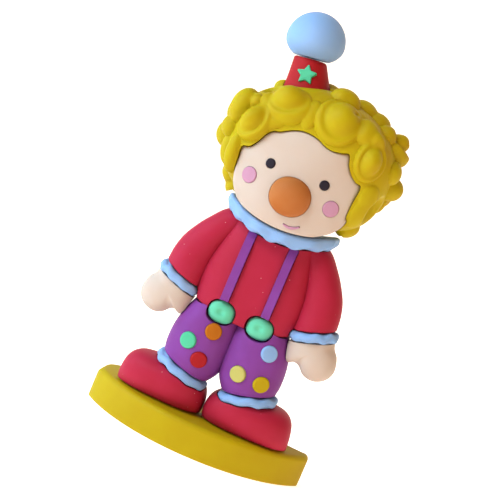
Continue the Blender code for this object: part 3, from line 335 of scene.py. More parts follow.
# %% [markdown]
# Where two pours meet, one is cut away to leave a hair's breadth of gap, which is the dark line round
# every colour. The exact Boolean does that cleanly when both forms are closed, and welding closes the
# slivers it can leave.

# %% Cutting and joining
WELD = 0.000015


def solved(form):
    return bpy.data.meshes.new_from_object(form.evaluated_get(bpy.context.evaluated_depsgraph_get()))


def combine(form, others, operation):
    """Cuts the others from the form or joins them to it; if most of the form vanishes, tries once more."""
    for other in others:
        boolean = form.modifiers.new(operation.lower(), "BOOLEAN")
        boolean.operation = operation
        boolean.solver = "EXACT"
        boolean.object = other
    before = len(form.data.polygons)
    result = solved(form)
    if len(result.polygons) < before / 2:
        for boolean in form.modifiers:
            boolean.use_hole_tolerant = True
        result = solved(form)
        print("cut again, tolerating holes:", form.name, before, "to", len(result.polygons))
    form.modifiers.clear()
    bm = bmesh.new()
    bm.from_mesh(result)
    bmesh.ops.remove_doubles(bm, verts=bm.verts, dist=WELD)
    bmesh.ops.dissolve_degenerate(bm, edges=bm.edges, dist=WELD / 2)
    bmesh.ops.triangulate(bm, faces=bm.faces)
    bm.to_mesh(result)
    bm.free()
    form.data = result
    for other in others:
        bpy.data.objects.remove(other, do_unlink=True)
    return form


def cut(form, *cutters):
    return combine(form, cutters, "DIFFERENCE")


def join(form, *others):
    return combine(form, others, "UNION")


# %% [markdown]
# The foot plate is a thick slab with a bowed front, a square right end and a deeper, rounded left end. It
# could be a curve extruded and bevelled; here its outline is built from one long arc and two rounded
# corners, and the slab's edge is a quarter circle of rings, so the round-over stays even all the way
# along.

# %% Foot plate
BASE_HEIGHT = 0.0073
BASE_RIGHT = 0.0254
BASE_LEFT = 0.0262
BASE_FRONT = 0.0087
BASE_BOW_RADIUS = 0.0300
BASE_BOW_X = -0.0012
BASE_SIDE_RIGHT = 0.0031
BASE_SIDE_LEFT = 0.0121
BASE_CORNER_RIGHT = 0.0008
BASE_CORNER_LEFT = 0.0060
BASE_EDGE = 0.0013
BOW_STEPS = 60


def slab_rings(outline, bottom, top, bottom_edge, top_edge, steps=6):
    """Rings of a flat slab with this outline, whose lower and upper edges are rounded."""
    rings = []
    for step in range(steps + 1 if bottom_edge else 1):
        angle = math.pi / 2 * step / steps
        rings.append(raised(inset(outline, bottom_edge * (1 - math.sin(angle))),
                            bottom + bottom_edge * (1 - math.cos(angle))))
    for step in range(steps + 1):
        angle = math.pi / 2 * step / steps
        rings.append(raised(inset(outline, top_edge * (1 - math.cos(angle))),
                            top - top_edge * (1 - math.sin(angle))))
    return rings


def rounded_corner(before, corner, after, radius, steps):
    """Points of an arc that replaces a corner of an outline."""
    behind = (before - corner).normalized()
    ahead = (after - corner).normalized()
    half = behind.angle(ahead) / 2
    reach = radius / math.tan(half)
    start, end = corner + behind * reach, corner + ahead * reach
    centre = corner + (behind + ahead).normalized() * (radius / math.sin(half))
    points = []
    for step in range(steps + 1):
        arm = (start - centre).lerp(end - centre, step / steps)
        points.append(centre + arm.normalized() * radius)
    return points


def plate_outline():
    centre = Vector((BASE_BOW_X, BASE_BOW_RADIUS - BASE_FRONT, 0.0))
    start = math.asin((-BASE_LEFT - BASE_BOW_X) / BASE_BOW_RADIUS)
    end = math.asin((BASE_RIGHT - BASE_BOW_X) / BASE_BOW_RADIUS)
    bow = []
    for step in range(BOW_STEPS + 1):
        angle = start + (end - start) * step / BOW_STEPS
        bow.append(centre + BASE_BOW_RADIUS * Vector((math.sin(angle), -math.cos(angle), 0.0)))
    right = bow[-1] + Vector((0.0, BASE_SIDE_RIGHT, 0.0))
    left = bow[0] + Vector((0.0, BASE_SIDE_LEFT, 0.0))
    return (bow + rounded_corner(bow[-1], right, left, BASE_CORNER_RIGHT, 8)
            + rounded_corner(right, left, bow[0], BASE_CORNER_LEFT, 20))


pour("base", add_form("plate", skin(slab_rings(plate_outline(), 0.0, BASE_HEIGHT, EDGE, BASE_EDGE))))

# %% [markdown]
# Limbs, cuffs and shoes are all swollen tubes. A limb is written as a few sections, each with its height,
# how far out it stands, its half width and depth and its tilt, and a smooth curve runs through them. Rows
# of sections are quicker to tune against the photograph than sculpting.

# %% Limbs from sections
def on_curve(before, start, end, after, t):
    """A point of the Catmull-Rom curve from start to end."""
    return 0.5 * (2 * start + (end - before) * t + (2 * before - 5 * start + 4 * end - after) * t * t
                  + (3 * start - before - 3 * end + after) * t ** 3)


def smooth_rows(rows, steps):
    """A smooth curve through rows of numbers, with the given number of steps between two rows."""
    padded = [rows[0], *rows, rows[-1]]
    result = []
    for i in range(len(rows) - 1):
        corners = [np.array(row, float) for row in padded[i:i + 4]]
        result += [on_curve(*corners, step / steps) for step in range(steps)]
    result.append(np.array(rows[-1], float))
    return result


def leaned(place_at, side, tilt):
    """The frame of a section that leans out to its side by a number of degrees."""
    return Matrix.Translation(place_at) @ Matrix.Rotation(-side * math.radians(tilt), 4, "Y")


def limb_rings(rows, side, steps, power, count, grow=0.0):
    """Rings of a limb. A row is height, distance out, y, half width, half depth and tilt in degrees."""
    rings = []
    for z, out, y, half_width, half_depth, tilt in smooth_rows(rows, steps):
        ring = oval(half_width + grow, half_depth + grow, power, count)
        rings += place([ring], leaned((side * out, y, z), side, tilt))
    return rings


def shrunk(ring, distance):
    """A ring drawn in towards its own middle by a distance."""
    middle = sum(ring, Vector()) / len(ring)
    reach = sum((point - middle).length for point in ring) / len(ring)
    return scaled(ring, middle, 1 - distance / reach)


def round_ends(rings, edge):
    """Rounds the rims of a limb's flat ends."""
    ends = []
    for rim, neighbour in ((rings[0], rings[1]), (rings[-1], rings[-2])):
        near = [a.lerp(b, min(0.5, edge / (b - a).length)) for a, b in zip(rim, neighbour)]
        ends.append([shrunk(rim, edge), shrunk(near, edge * 0.3)])
    return ends[0] + rings[1:-1] + ends[1][::-1]


def box(low, high):
    bm = bmesh.new()
    bmesh.ops.create_cube(bm, size=1.0)
    size = Matrix.Diagonal((*(Vector(high) - Vector(low)), 1.0))
    middle = Matrix.Translation((Vector(high) + Vector(low)) / 2)
    bmesh.ops.transform(bm, matrix=middle @ size, verts=bm.verts)
    return bm


print("a limb of two sections has", len(smooth_rows(((0.0,), (1.0,)), 4)), "rings at four steps")

# %% [markdown]
# A cuff is a rolled band that waves a little as it goes round, where the moulder let the edge ripple. A
# torus would be too even and too round, so it is a thick oval disc with a fully rounded edge, lifted by a
# small cosine that fades towards the middle, and slightly different from wave to wave.

# %% Trouser and sleeve cuffs
ANKLE_HEIGHT = 0.0084
ANKLE_OUT = 0.0080
ANKLE_TILT = 16.0
ANKLE_HALF_WIDTH = 0.0067
ANKLE_HALF_DEPTH = 0.0064
ANKLE_CUFF_THICKNESS = 0.0019
CUFF_WAVE = 0.00026
CUFF_WAVES = 9
CUFF_ROUNDNESS = 0.96
ANKLE_Z = BASE_HEIGHT + ANKLE_HEIGHT
LEG_LENGTH = 0.0248
WAIST_Z = BASE_HEIGHT + LEG_LENGTH
TORSO_LENGTH = 0.0198
NECK_Z = WAIST_Z + TORSO_LENGTH
WRIST_OUT = 0.0161
WRIST_DROP = 0.0174
WRIST_Z = NECK_Z - WRIST_DROP
WRIST_TILT = 19.3
WRIST_CUFF_HALF_WIDTH = 0.0054
WRIST_CUFF_HALF_DEPTH = 0.0054
WRIST_CUFF_THICKNESS = 0.0020
ARM_FORWARD = 0.0012


def wavy_cuff(side, place_at, tilt, half_width, half_depth, thickness, grow):
    half = thickness / 2 + grow
    outline = oval(half_width + grow, half_depth + grow, 2.2, 144)
    rings = slab_rings(outline, -half, half, half * CUFF_ROUNDNESS, half * CUFF_ROUNDNESS, 7)
    for ring in rings:
        for point in ring:
            around = math.atan2(point.y / half_depth, point.x / half_width)
            wave = math.cos(CUFF_WAVES * around) * (1 + 0.5 * math.cos(2 * around + side))
            point.z += CUFF_WAVE * wave * math.hypot(point.x / half_width, point.y / half_depth) ** 4
    return skin(place(rings, leaned(place_at, side, tilt)))


def ankle_cuff(side, grow=0.0):
    return wavy_cuff(side, (side * ANKLE_OUT, 0.0, ANKLE_Z), ANKLE_TILT, ANKLE_HALF_WIDTH, ANKLE_HALF_DEPTH,
                     ANKLE_CUFF_THICKNESS, grow)


def wrist_cuff(side, grow=0.0):
    return wavy_cuff(side, (side * WRIST_OUT, -ARM_FORWARD, WRIST_Z), WRIST_TILT, WRIST_CUFF_HALF_WIDTH,
                     WRIST_CUFF_HALF_DEPTH, WRIST_CUFF_THICKNESS, grow)


SIDES = (("left", -1), ("right", 1))
for name, side in SIDES:
    pour("trouser_cuff_" + name, add_form("cuff", ankle_cuff(side)))
    pour("sleeve_cuff_" + name, add_form("cuff", wrist_cuff(side)))

# %% [markdown]
# The shoes are plump loaves that touch along the middle and stand on the plate. Each starts as a full
# loaf of sections from the sole up, turned a little outwards. A flat cut parts it from its twin, and a
# second cut seats the trouser cuff that presses into it.

# %% Shoes
FOOT_SHIFT = -0.0006
SHOE_OUT = 0.0104
SHOE_HALF_WIDTH = 0.0103
SHOE_HALF_DEPTH = 0.0073
SHOE_BACK = 0.0016
SHOE_HEIGHT = 0.0087
SHOE_TURN = 5.0
# Share of the height, then of the half width and depth, and how far the section moves out and back
SHOE_SECTIONS = (
    (0.00, 0.99, 0.80, 0.02, 0.20),
    (0.20, 1.00, 0.95, 0.00, 0.08),
    (0.45, 0.98, 1.00, -0.01, 0.00),
    (0.70, 0.91, 0.95, 0.00, -0.05),
    (0.88, 0.76, 0.76, 0.03, -0.08),
    (0.97, 0.52, 0.48, 0.08, -0.08),
    (1.00, 0.14, 0.12, 0.10, -0.08),
)


def shoe(side):
    foot = BASE_HEIGHT + GAP
    rows = []
    for height, width, depth, out, behind in SHOE_SECTIONS:
        rows.append((foot + height * SHOE_HEIGHT, SHOE_OUT + out * SHOE_HALF_WIDTH,
                     SHOE_BACK + behind * SHOE_HALF_DEPTH,
                     width * SHOE_HALF_WIDTH, depth * SHOE_HALF_DEPTH, 0.0))
    rings = limb_rings(rows, side, 6, 2.5, 96)
    sole = rings[0]
    rings = [shrunk(sole, EDGE), shrunk(raised(sole, EDGE / 3), EDGE / 3), raised(sole, EDGE), *rings[1:]]
    rings.append([sum(rings[-1], Vector()) / len(rings[-1])])
    pivot = Vector((side * SHOE_OUT, SHOE_BACK, 0.0))
    turn = Matrix.Rotation(side * math.radians(SHOE_TURN), 4, "Z")
    shift = Matrix.Translation((FOOT_SHIFT, 0.0, 0.0))
    matrix = shift @ Matrix.Translation(pivot) @ turn @ Matrix.Translation(-pivot)
    form = add_form("shoe", skin(place(rings, matrix)))
    inner, outer = FOOT_SHIFT + side * GAP / 2, -side * 2 * SHOE_OUT
    reach = 3 * SHOE_HALF_DEPTH
    other_half = box((min(inner, outer), -reach, 0.0), (max(inner, outer), reach, reach))
    return cut(form, add_form("other_half", other_half), add_form("cuff_seat", ankle_cuff(side, GAP)))


for name, side in SIDES:
    pour("shoe_" + name, shoe(side))

# %% [markdown]
# The trunk of the shirt is a barrel a little deeper at the chest than at the neck. Its hem hangs lower in
# the middle and its top follows the collar. The trousers are two balloon legs that press together and
# leave a crease between them; they are joined by a union, which keeps that crease sharp.

# %% Trunk and legs
TORSO_HALF_WIDTH = 0.0127
TORSO_HALF_DEPTH = 0.0063
TORSO_POWER = 2.8
HEM_DROP = 0.0016
COLLAR_HALF_WIDTH = 0.0129
COLLAR_RISE = 0.0032
LEG_OUT = 0.0064
LEG_HALF_WIDTH = 0.0072
LEG_HALF_DEPTH = 0.0067
# Share of the length, of the half width and depth, and of the hem's drop and the collar's rise
TORSO_SECTIONS = (
    (0.00, 0.89, 0.98, 1.0, 0.0),
    (0.12, 0.945, 1.01, 0.8, 0.0),
    (0.28, 0.97, 1.03, 0.3, 0.0),
    (0.44, 0.955, 1.03, 0.0, 0.0),
    (0.62, 0.89, 1.01, 0.0, 0.1),
    (0.80, 0.81, 0.96, 0.0, 0.4),
    (1.00, 0.72, 0.86, 0.0, 1.0),
)
# Share of the way from ankle to waist, then of the distance out, half width, half depth and cuff's tilt
LEG_SECTIONS = (
    (0.00, 1.17, 0.82, 0.88, 1.00),
    (0.15, 1.06, 0.95, 0.97, 0.60),
    (0.35, 1.01, 1.00, 1.02, 0.20),
    (0.54, 0.98, 0.99, 1.03, 0.00),
    (0.72, 0.94, 0.94, 1.01, 0.00),
    (0.88, 0.90, 0.85, 0.96, 0.00),
    (1.02, 0.87, 0.73, 0.88, 0.00),
    (1.16, 0.85, 0.56, 0.70, 0.00),
)


def collar_rise(x):
    """How much higher the collar lies at the shoulders than in the middle."""
    return COLLAR_RISE * (x / COLLAR_HALF_WIDTH) ** 2


def trunk(grow=0.0):
    rows = smooth_rows(TORSO_SECTIONS, 6)
    levels = [(row, 0.0, 1.0) for row in rows]
    levels[0] = (rows[0], EDGE, 1.0)
    ends = [(rows[0], 0.0, share) for share in (0.0, 0.4, 0.7, 1 - EDGE / TORSO_HALF_DEPTH)]
    ends.append((rows[0], EDGE * 0.3, 1 - 0.3 * EDGE / TORSO_HALF_DEPTH))
    tops = [(rows[-1], 0.0, share) for share in (0.7, 0.4, 0.0)]
    rings = []
    for (share, width, depth, drop, rise), lift, reach in ends + levels + tops:
        half_width = width * TORSO_HALF_WIDTH + grow
        ring = oval(half_width * reach, (depth * TORSO_HALF_DEPTH + grow) * reach, TORSO_POWER, 128)
        for point in ring:
            across = point.x / half_width
            point.z = WAIST_Z + share * TORSO_LENGTH + lift - (grow if share == 0.0 else 0.0)
            point.z += rise * collar_rise(point.x) - drop * HEM_DROP * (1 - across * across)
        rings.append(ring if reach else ring[:1])
    return skin(rings)


def leg(side, grow=0.0):
    lift = ANKLE_CUFF_THICKNESS / 2 + GAP - grow
    ankle = ANKLE_Z + lift * math.cos(math.radians(ANKLE_TILT))
    foot_out = ANKLE_OUT - lift * math.sin(math.radians(ANKLE_TILT)) - LEG_SECTIONS[0][1] * LEG_OUT
    rows = []
    for share, out, width, depth, tilt in LEG_SECTIONS:
        rows.append((ankle + share * (WAIST_Z - ankle),
                     out * LEG_OUT + foot_out * max(0.0, 1 - share * 3), 0.0,
                     width * LEG_HALF_WIDTH, depth * LEG_HALF_DEPTH, tilt * ANKLE_TILT))
    return skin(round_ends(limb_rings(rows, side, 6, 2.2, 96, grow), EDGE))


def legs(grow=0.0):
    return join(add_form("leg", leg(-1, grow)), add_form("other_leg", leg(1, grow)))


trousers = cut(legs(), add_form("hem_seat", trunk(GAP)))
print("trousers:", len(trousers.data.polygons), "faces before the buttons and dots")

# %% [markdown]
# The collar is one thick frilled ruff, bent up towards the shoulders, with a rounded rim that ripples all
# round. Its scallops grow from its upper face to its lower one, as a pressed frill's do. The grown copy
# that cuts its seat in the shirt has no frill, so the shirt keeps clear of every scallop.

# %% Collar
COLLAR_HALF_DEPTH = 0.0088
COLLAR_FORWARD = 0.0006
COLLAR_THICKNESS = 0.0028
COLLAR_EDGE = 0.0010
COLLAR_WAVE = 0.0004
COLLAR_WAVES = 14


def collar(grow=0.0):
    half = COLLAR_THICKNESS / 2 + grow
    outline = oval(COLLAR_HALF_WIDTH + grow, COLLAR_HALF_DEPTH + grow, 2.3, 240)
    rings = slab_rings(outline, -half, half, COLLAR_EDGE, COLLAR_EDGE, 7)
    for ring in rings:
        for point in ring:
            around = math.atan2(point.y / COLLAR_HALF_DEPTH, point.x / COLLAR_HALF_WIDTH)
            lower = 0.0 if grow else (half - point.z) / (2 * half)
            wave = math.cos(COLLAR_WAVES * around + 0.6 * math.sin(3 * around))
            point.x *= 1 + wave * lower * COLLAR_WAVE / COLLAR_HALF_WIDTH
            point.y *= 1 + wave * lower * COLLAR_WAVE / COLLAR_HALF_DEPTH
            point.z += wave * lower * COLLAR_WAVE
    low, high = Vector((0.0, 0.0, -half)), Vector((0.0, 0.0, half))
    inner = [[Vector((point.x * share, point.y * share, -half)) for point in rings[0]]
             for share in (0.4, 0.8)]
    rings = [[low], *inner, *rings, scaled(rings[-1], high, 0.8), scaled(rings[-1], high, 0.4), [high]]
    for ring in rings:
        for point in ring:
            point.z += NECK_Z + collar_rise(point.x)
            point.y -= COLLAR_FORWARD
    return skin(rings)


pour("collar", add_form("ruff", collar()))

# %% [markdown]
# The shirt is the trunk with two hanging sleeves. The sleeves sink into the trunk at the shoulder and
# stand clear of it lower down, which gives the soft fold under each arm. Union joins them, and the cuffs
# and the collar are cut out with their gap.

# %% Shirt
SLEEVE_HALF_WIDTH = 0.0047
SLEEVE_HALF_DEPTH = 0.0050
# Share of the way to the shoulder, of the wrist's distance out, half width, half depth and cuff's tilt
SLEEVE_SECTIONS = (
    (0.00, 0.975, 1.00, 1.00, 1.00),
    (0.20, 0.955, 0.98, 0.98, 0.80),
    (0.42, 0.905, 0.92, 0.93, 0.50),
    (0.64, 0.800, 0.85, 0.86, 0.30),
    (0.80, 0.695, 0.80, 0.80, 0.15),
    (0.93, 0.610, 0.72, 0.72, 0.00),
    (1.01, 0.560, 0.52, 0.50, 0.00),
)


def sleeve(side):
    lift = WRIST_CUFF_THICKNESS / 2 + GAP
    wrist = WRIST_Z + lift * math.cos(math.radians(WRIST_TILT))
    shoulder = NECK_Z + collar_rise(0.6 * COLLAR_HALF_WIDTH)
    rows = []
    for share, out, width, depth, tilt in SLEEVE_SECTIONS:
        rows.append((wrist + share * (shoulder - wrist), out * WRIST_OUT, -ARM_FORWARD * (1 - share),
                     width * SLEEVE_HALF_WIDTH, depth * SLEEVE_HALF_DEPTH, tilt * WRIST_TILT))
    return skin(round_ends(limb_rings(rows, side, 6, 2.2, 80), EDGE))


shirt = join(add_form("trunk", trunk()), add_form("sleeve", sleeve(-1)), add_form("sleeve", sleeve(1)))
cut(shirt, add_form("collar_seat", collar(FINE_GAP + COLLAR_WAVE)))
cut(shirt, add_form("wrist_seat", wrist_cuff(-1, GAP)), add_form("wrist_seat", wrist_cuff(1, GAP)))
print("shirt:", len(shirt.data.polygons), "faces before the suspenders")

# %% [markdown]
# The hands are mittens with a stub of a thumb towards the body. An outline seen from the front, puffed up
# to both sides by a steep dome, gives that pillowy form, and it is cut off under the sleeve cuff and
# where the leg and the trunk press against it.

# %% Hands
HAND_LENGTH = 0.0092
HAND_HALF_THICKNESS = 0.0042
# Distance out from the wrist and down from it, as shares of the hand's length
HAND_OUTLINE = (
    (0.44, 0.45), (0.55, -0.05), (0.70, -0.28), (0.77, -0.56), (0.71, -0.79), (0.54, -0.95),
    (0.32, -1.01), (0.10, -0.95), (-0.06, -0.80), (-0.20, -0.76), (-0.36, -0.82), (-0.50, -0.70),
    (-0.52, -0.30), (-0.44, 0.30), (0.0, 0.55),
)


def puffed(share, height, power=2.4):
    """Height of a pillow-shaped dome at a share of its outline."""
    return height * (1 - share ** power) ** 0.5


def closed_curve(points, steps):
    """A closed smooth outline through the given (x, y) points."""
    rows = [np.array(point, float) for point in points]
    result = []
    for i in range(len(rows)):
        corners = [rows[(i + k) % len(rows)] for k in (-1, 0, 1, 2)]
        for step in range(steps):
            result.append(Vector((*on_curve(*corners, step / steps), 0.0)))
    return result


def hand(side):
    points = [(side * out * HAND_LENGTH, up * HAND_LENGTH) for out, up in HAND_OUTLINE]
    if side < 0:
        points.reverse()
    outline = closed_curve(points[::-1], 8)
    centre = Vector((side * 0.1 * HAND_LENGTH, -0.35 * HAND_LENGTH, 0.0))
    shares = [math.sin(math.pi / 2 * step / 14) for step in range(1, 14)]
    heights = [puffed(share, HAND_HALF_THICKNESS) for share in shares]
    low = [raised(scaled(outline, centre, share), -height) for share, height in zip(shares, heights)]
    high = [raised(scaled(outline, centre, share), height) for share, height in zip(shares, heights)]
    tips = [[centre + Vector((0.0, 0.0, way * HAND_HALF_THICKNESS))] for way in (-1, 1)]
    rings = [tips[0], *low, outline, *high[::-1], tips[1]]
    return skin(place(rings, Matrix.Translation((side * WRIST_OUT, -ARM_FORWARD, WRIST_Z)) @ UPRIGHT))


def above_wrist(side):
    """Everything above a sleeve cuff's underside."""
    reach = 3 * WRIST_CUFF_HALF_WIDTH
    block = box((-reach, -reach, -WRIST_CUFF_THICKNESS / 2 - GAP), (reach, reach, reach))
    matrix = leaned((side * WRIST_OUT, 0.0, WRIST_Z), side, WRIST_TILT)
    bmesh.ops.transform(block, matrix=matrix, verts=block.verts)
    return add_form("above_wrist", block)


for name, side in SIDES:
    mitten = add_form("mitten", hand(side))
    pour("hand_" + name, cut(mitten, above_wrist(side), legs(GAP), add_form("hem_seat", trunk(GAP))))

# %% [markdown]
# The suspenders are flat bands let into the shirt, proud by half a millimetre, up the front, over the
# shoulders under the collar and down the back. To follow the shirt exactly, rays are sent at it from the
# front and the back at even heights, and a band with softened corners is swept along the points where
# they land. The same sweep, grown by the gap, cuts the groove.

# %% Suspenders
FRONT_SHIFT = 0.0003
STRAP_X = 0.0048
STRAP_WIDTH = 0.0019
STRAP_THICKNESS = 0.0014
STRAP_PROUD = 0.0005
BUTTON_HALF_HEIGHT = 0.0025


def strap_line(x):
    low = WAIST_Z + 0.5 * BUTTON_HALF_HEIGHT
    high = NECK_Z + collar_rise(x) - COLLAR_THICKNESS / 2 - COLLAR_WAVE - GAP - 1.2 * STRAP_PROUD
    steps = 24
    heights = [low + (high - low) * i / steps for i in range(steps + 1)]
    tree = BVHTree.FromObject(shirt, bpy.context.evaluated_depsgraph_get())
    sides = []
    for start, way in ((-1.0, 1.0), (1.0, -1.0)):
        line = []
        for z in heights[:-3]:
            point, _, _, _ = tree.ray_cast(Vector((x, start, z)), Vector((0.0, way, 0.0)))
            line.append(point)
        line.append(Vector((x, line[-1].y + way * STRAP_PROUD, high)))
        sides.append(line)
    front, behind = sides
    return front + list(reversed(behind))


def strap(line, grow=0.0):
    half = STRAP_WIDTH / 2 + grow
    inner = STRAP_PROUD - STRAP_THICKNESS - grow
    if grow:
        section = [(-half, inner), (half, inner), (half, STRAP_THICKNESS), (-half, STRAP_THICKNESS)]
    else:
        section = [(-half, inner), (half, inner)]
        for angle in (math.pi * step / 12 for step in range(13)):
            section.append((half * math.cos(angle), STRAP_PROUD * math.sin(angle) ** 0.8))
    rings = []
    for i, point in enumerate(line):
        ahead = (line[min(i + 1, len(line) - 1)] - line[max(i - 1, 0)]).normalized()
        out = ahead.cross(Vector((1.0, 0.0, 0.0)))
        shift = -grow if i == 0 else grow if i == len(line) - 1 else 0.0
        rings.append([point + Vector((across, 0.0, 0.0)) + out * height + ahead * shift
                      for across, height in section])
    return skin(rings)


strap_lines = {name: strap_line(side * STRAP_X + FRONT_SHIFT) for name, side in SIDES}
straps = {}
for name, side in SIDES:
    cut(shirt, add_form("groove", strap(strap_lines[name], 2 * FINE_GAP)))
    seat = add_form("seat", collar(FINE_GAP + COLLAR_WAVE))
    straps[name] = cut(add_form("strap", strap(strap_lines[name])), seat)
print("grooves cut; shirt now", len(shirt.data.polygons), "faces")

# %% [markdown]
# Each suspender ends under a round green button whose middle was pressed in by a thumb of the mould. It
# sits half in the shirt's hem and half in the trousers, so its recess is cut from both, and from the end
# of the band.

# %% Buttons
BUTTON_X = 0.0045
BUTTON_HALF_WIDTH = 0.0030
BUTTON_DROP = 0.0004
BUTTON_PROUD = 0.0016
BUTTON_SEAT = 0.0010
BUTTON_DIMPLE = 0.0005
DIMPLE_REACH = 0.28


def cut_recess(form, outline, matrix, low, high):
    """Cuts a straight-sided recess of this outline from low to high in the matrix's own space."""
    cut(form, add_form("recess", skin(place([raised(outline, low), raised(outline, high)], matrix))))


def button_outline(grow=0.0):
    return oval(BUTTON_HALF_WIDTH + grow, BUTTON_HALF_HEIGHT + grow, 2.3, 96)


def front_point(form, x, z):
    """Where a line from the front meets a form: the point and the outward normal there."""
    tree = BVHTree.FromObject(form, bpy.context.evaluated_depsgraph_get())
    point, normal, _, _ = tree.ray_cast(Vector((x, -1.0, z)), Vector((0.0, 1.0, 0.0)))
    return point, normal


for name, side in SIDES:
    x = side * BUTTON_X + FRONT_SHIFT
    point, _ = front_point(shirt, x, WAIST_Z + BUTTON_HALF_HEIGHT)
    point.z = WAIST_Z - BUTTON_DROP
    matrix = Matrix.Translation(point) @ UPRIGHT
    rings = [raised(button_outline(-EDGE), -BUTTON_SEAT), raised(button_outline(), EDGE - BUTTON_SEAT)]
    for step in range(18):
        share = math.cos(math.pi / 2 * step / 18)
        dip = BUTTON_DIMPLE * math.exp(-(share / DIMPLE_REACH) ** 2)
        rings.append(raised(scaled(button_outline(), Vector(), share), puffed(share, BUTTON_PROUD) - dip))
    rings.append([Vector((0.0, 0.0, BUTTON_PROUD - BUTTON_DIMPLE))])
    pour("button_" + name, add_form("button", skin(place(rings, matrix))))
    for form in (shirt, trousers, straps[name]):
        cut_recess(form, button_outline(GAP), matrix, -BUTTON_SEAT - GAP, 4 * BUTTON_PROUD)
    pour("suspender_" + name, straps[name])
pour("shirt", shirt)

# %% [markdown]
# The dots on the trousers, the eyes, the cheeks and the star are inlays: thin discs of another colour
# dropped into shallow recesses, with a rim that catches the light. One function seats them all: it finds
# the surface in front, turns the disc to face out of it, and cuts the recess a little wider than the
# disc.

# %% Inlays and the dots
DOT_RADIUS = 0.00185
DOT_THICKNESS = 0.0011
DOT_PROUD = 0.0004
# Shares of the leg's distance out and of its length
DOTS = {
    "dot_orange": (-0.62, 0.805),
    "dot_mint": (-1.31, 0.648),
    "dot_red": (-0.72, 0.522),
    "dot_sky": (1.41, 0.823),
    "dot_cream": (0.69, 0.551),
    "dot_mustard": (1.56, 0.543),
}


def seat_matrix(form, x, z, reach=0.0):
    """Frame on a form's front: local +Z out of the surface, local +Y up. Reach averages the slope nearby."""
    point, normal = front_point(form, x, z)
    if reach:
        for dx, dz in ((reach, 0), (-reach, 0), (0, reach), (0, -reach)):
            normal = normal + front_point(form, x + dx, z + dz)[1]
    out = normal.normalized()
    right = Vector((0.0, 0.0, 1.0)).cross(out).normalized()
    up = out.cross(right)
    return Matrix.Translation(point) @ Matrix((right, up, out)).transposed().to_4x4()


def inlay(node, form, matrix, outline, thickness, proud, edge):
    sink = thickness - proud
    rings = slab_rings(outline, -sink, proud, 0.0, edge, 5)
    pour(node, add_form(node + "_inlay", skin(place(rings, matrix))))
    cut_recess(form, inset(outline, -FINE_GAP), matrix, -sink - FINE_GAP, 3 * thickness)


for name, (out, share) in DOTS.items():
    matrix = seat_matrix(trousers, out * LEG_OUT, BASE_HEIGHT + share * LEG_LENGTH, DOT_RADIUS / 2)
    inlay(name, trousers, matrix, oval(DOT_RADIUS, DOT_RADIUS, 2.0, 64), DOT_THICKNESS, DOT_PROUD, DOT_PROUD)
pour("trousers", trousers)

# %% [markdown]
# The face is a plug with a scalloped hairline, pushed into the head from the front. Its outline is
# written as shares of its half width, joined by a smooth curve, and its front is a shallow dome that
# falls away faster towards the edges. The collar's top cuts its underside.

# %% Face
FACE_HALF_WIDTH = 0.0135
CHIN_SHARE = 1.285
CHIN_LIFT = 0.00125
HEAD_Z = NECK_Z + CHIN_LIFT + CHIN_SHARE * FACE_HALF_WIDTH
FACE_FRONT = 0.0116
FACE_BACK = 0.0035
FACE_DOME_ACROSS = 0.0036
FACE_DOME_UP = 0.0026
FACE_EDGE = 0.0005
HAIR_HANG = 0.7
FACE_OUTLINE = (
    (0.96, -0.16), (0.86, -0.12), (0.74, -0.02), (0.66, 0.10), (0.61, 0.24), (0.50, 0.215),
    (0.36, 0.19), (0.22, 0.21), (0.08, 0.27), (-0.08, 0.30), (-0.22, 0.29), (-0.37, 0.235),
    (-0.52, 0.15), (-0.62, 0.12), (-0.71, 0.03), (-0.78, -0.11), (-0.88, -0.24), (-1.00, -0.29),
    (-0.995, -0.46), (-0.98, -0.68), (-0.93, -0.86), (-0.83, -1.01), (-0.69, -1.12), (-0.50, -1.205),
    (-0.26, -1.265), (0.00, -CHIN_SHARE), (0.26, -1.265), (0.50, -1.20), (0.67, -1.11), (0.82, -1.00),
    (0.92, -0.86), (0.955, -0.74), (0.925, -0.67), (0.94, -0.42),
)


def face_outline():
    points = [(x * FACE_HALF_WIDTH, HEAD_Z + z * FACE_HALF_WIDTH) for x, z in FACE_OUTLINE]
    return closed_curve(points, 5)


def face_depth(x, z):
    """How far in front of the figure's middle the face lies at a place."""
    across = x / FACE_HALF_WIDTH
    up = (z - HEAD_Z + 0.40 * FACE_HALF_WIDTH) / FACE_HALF_WIDTH
    return FACE_FRONT - FACE_DOME_ACROSS * abs(across) ** 2.2 - FACE_DOME_UP * abs(up) ** 2.2


def face(grow=0.0):
    outline = inset(face_outline(), -grow)
    if grow:
        rings = [raised(outline, FACE_BACK - grow), raised(outline, 2 * FACE_FRONT)]
    else:
        centre = Vector((0.0, HEAD_Z - 0.5 * FACE_HALF_WIDTH, 0.0))
        rings = [raised(inset(outline, EDGE / 2), FACE_BACK), raised(outline, FACE_BACK + EDGE / 2)]
        turns = [math.pi / 2 * step / 5 for step in range(6)]
        levels = [(math.sin(turn), 1 - math.cos(turn), 1.0) for turn in turns]
        levels += [(1.0, 1.0, 1 - step / 20) for step in range(1, 20)]
        for rise, draw, share in levels:
            ring = scaled(inset(outline, FACE_EDGE * draw), centre, share)
            for point in ring:
                point.z = face_depth(point.x, point.y) - FACE_EDGE * (1 - rise)
            rings.append(ring)
        rings.append([Vector((*centre.xy, face_depth(*centre.xy)))])
    return skin(place(rings, UPRIGHT))


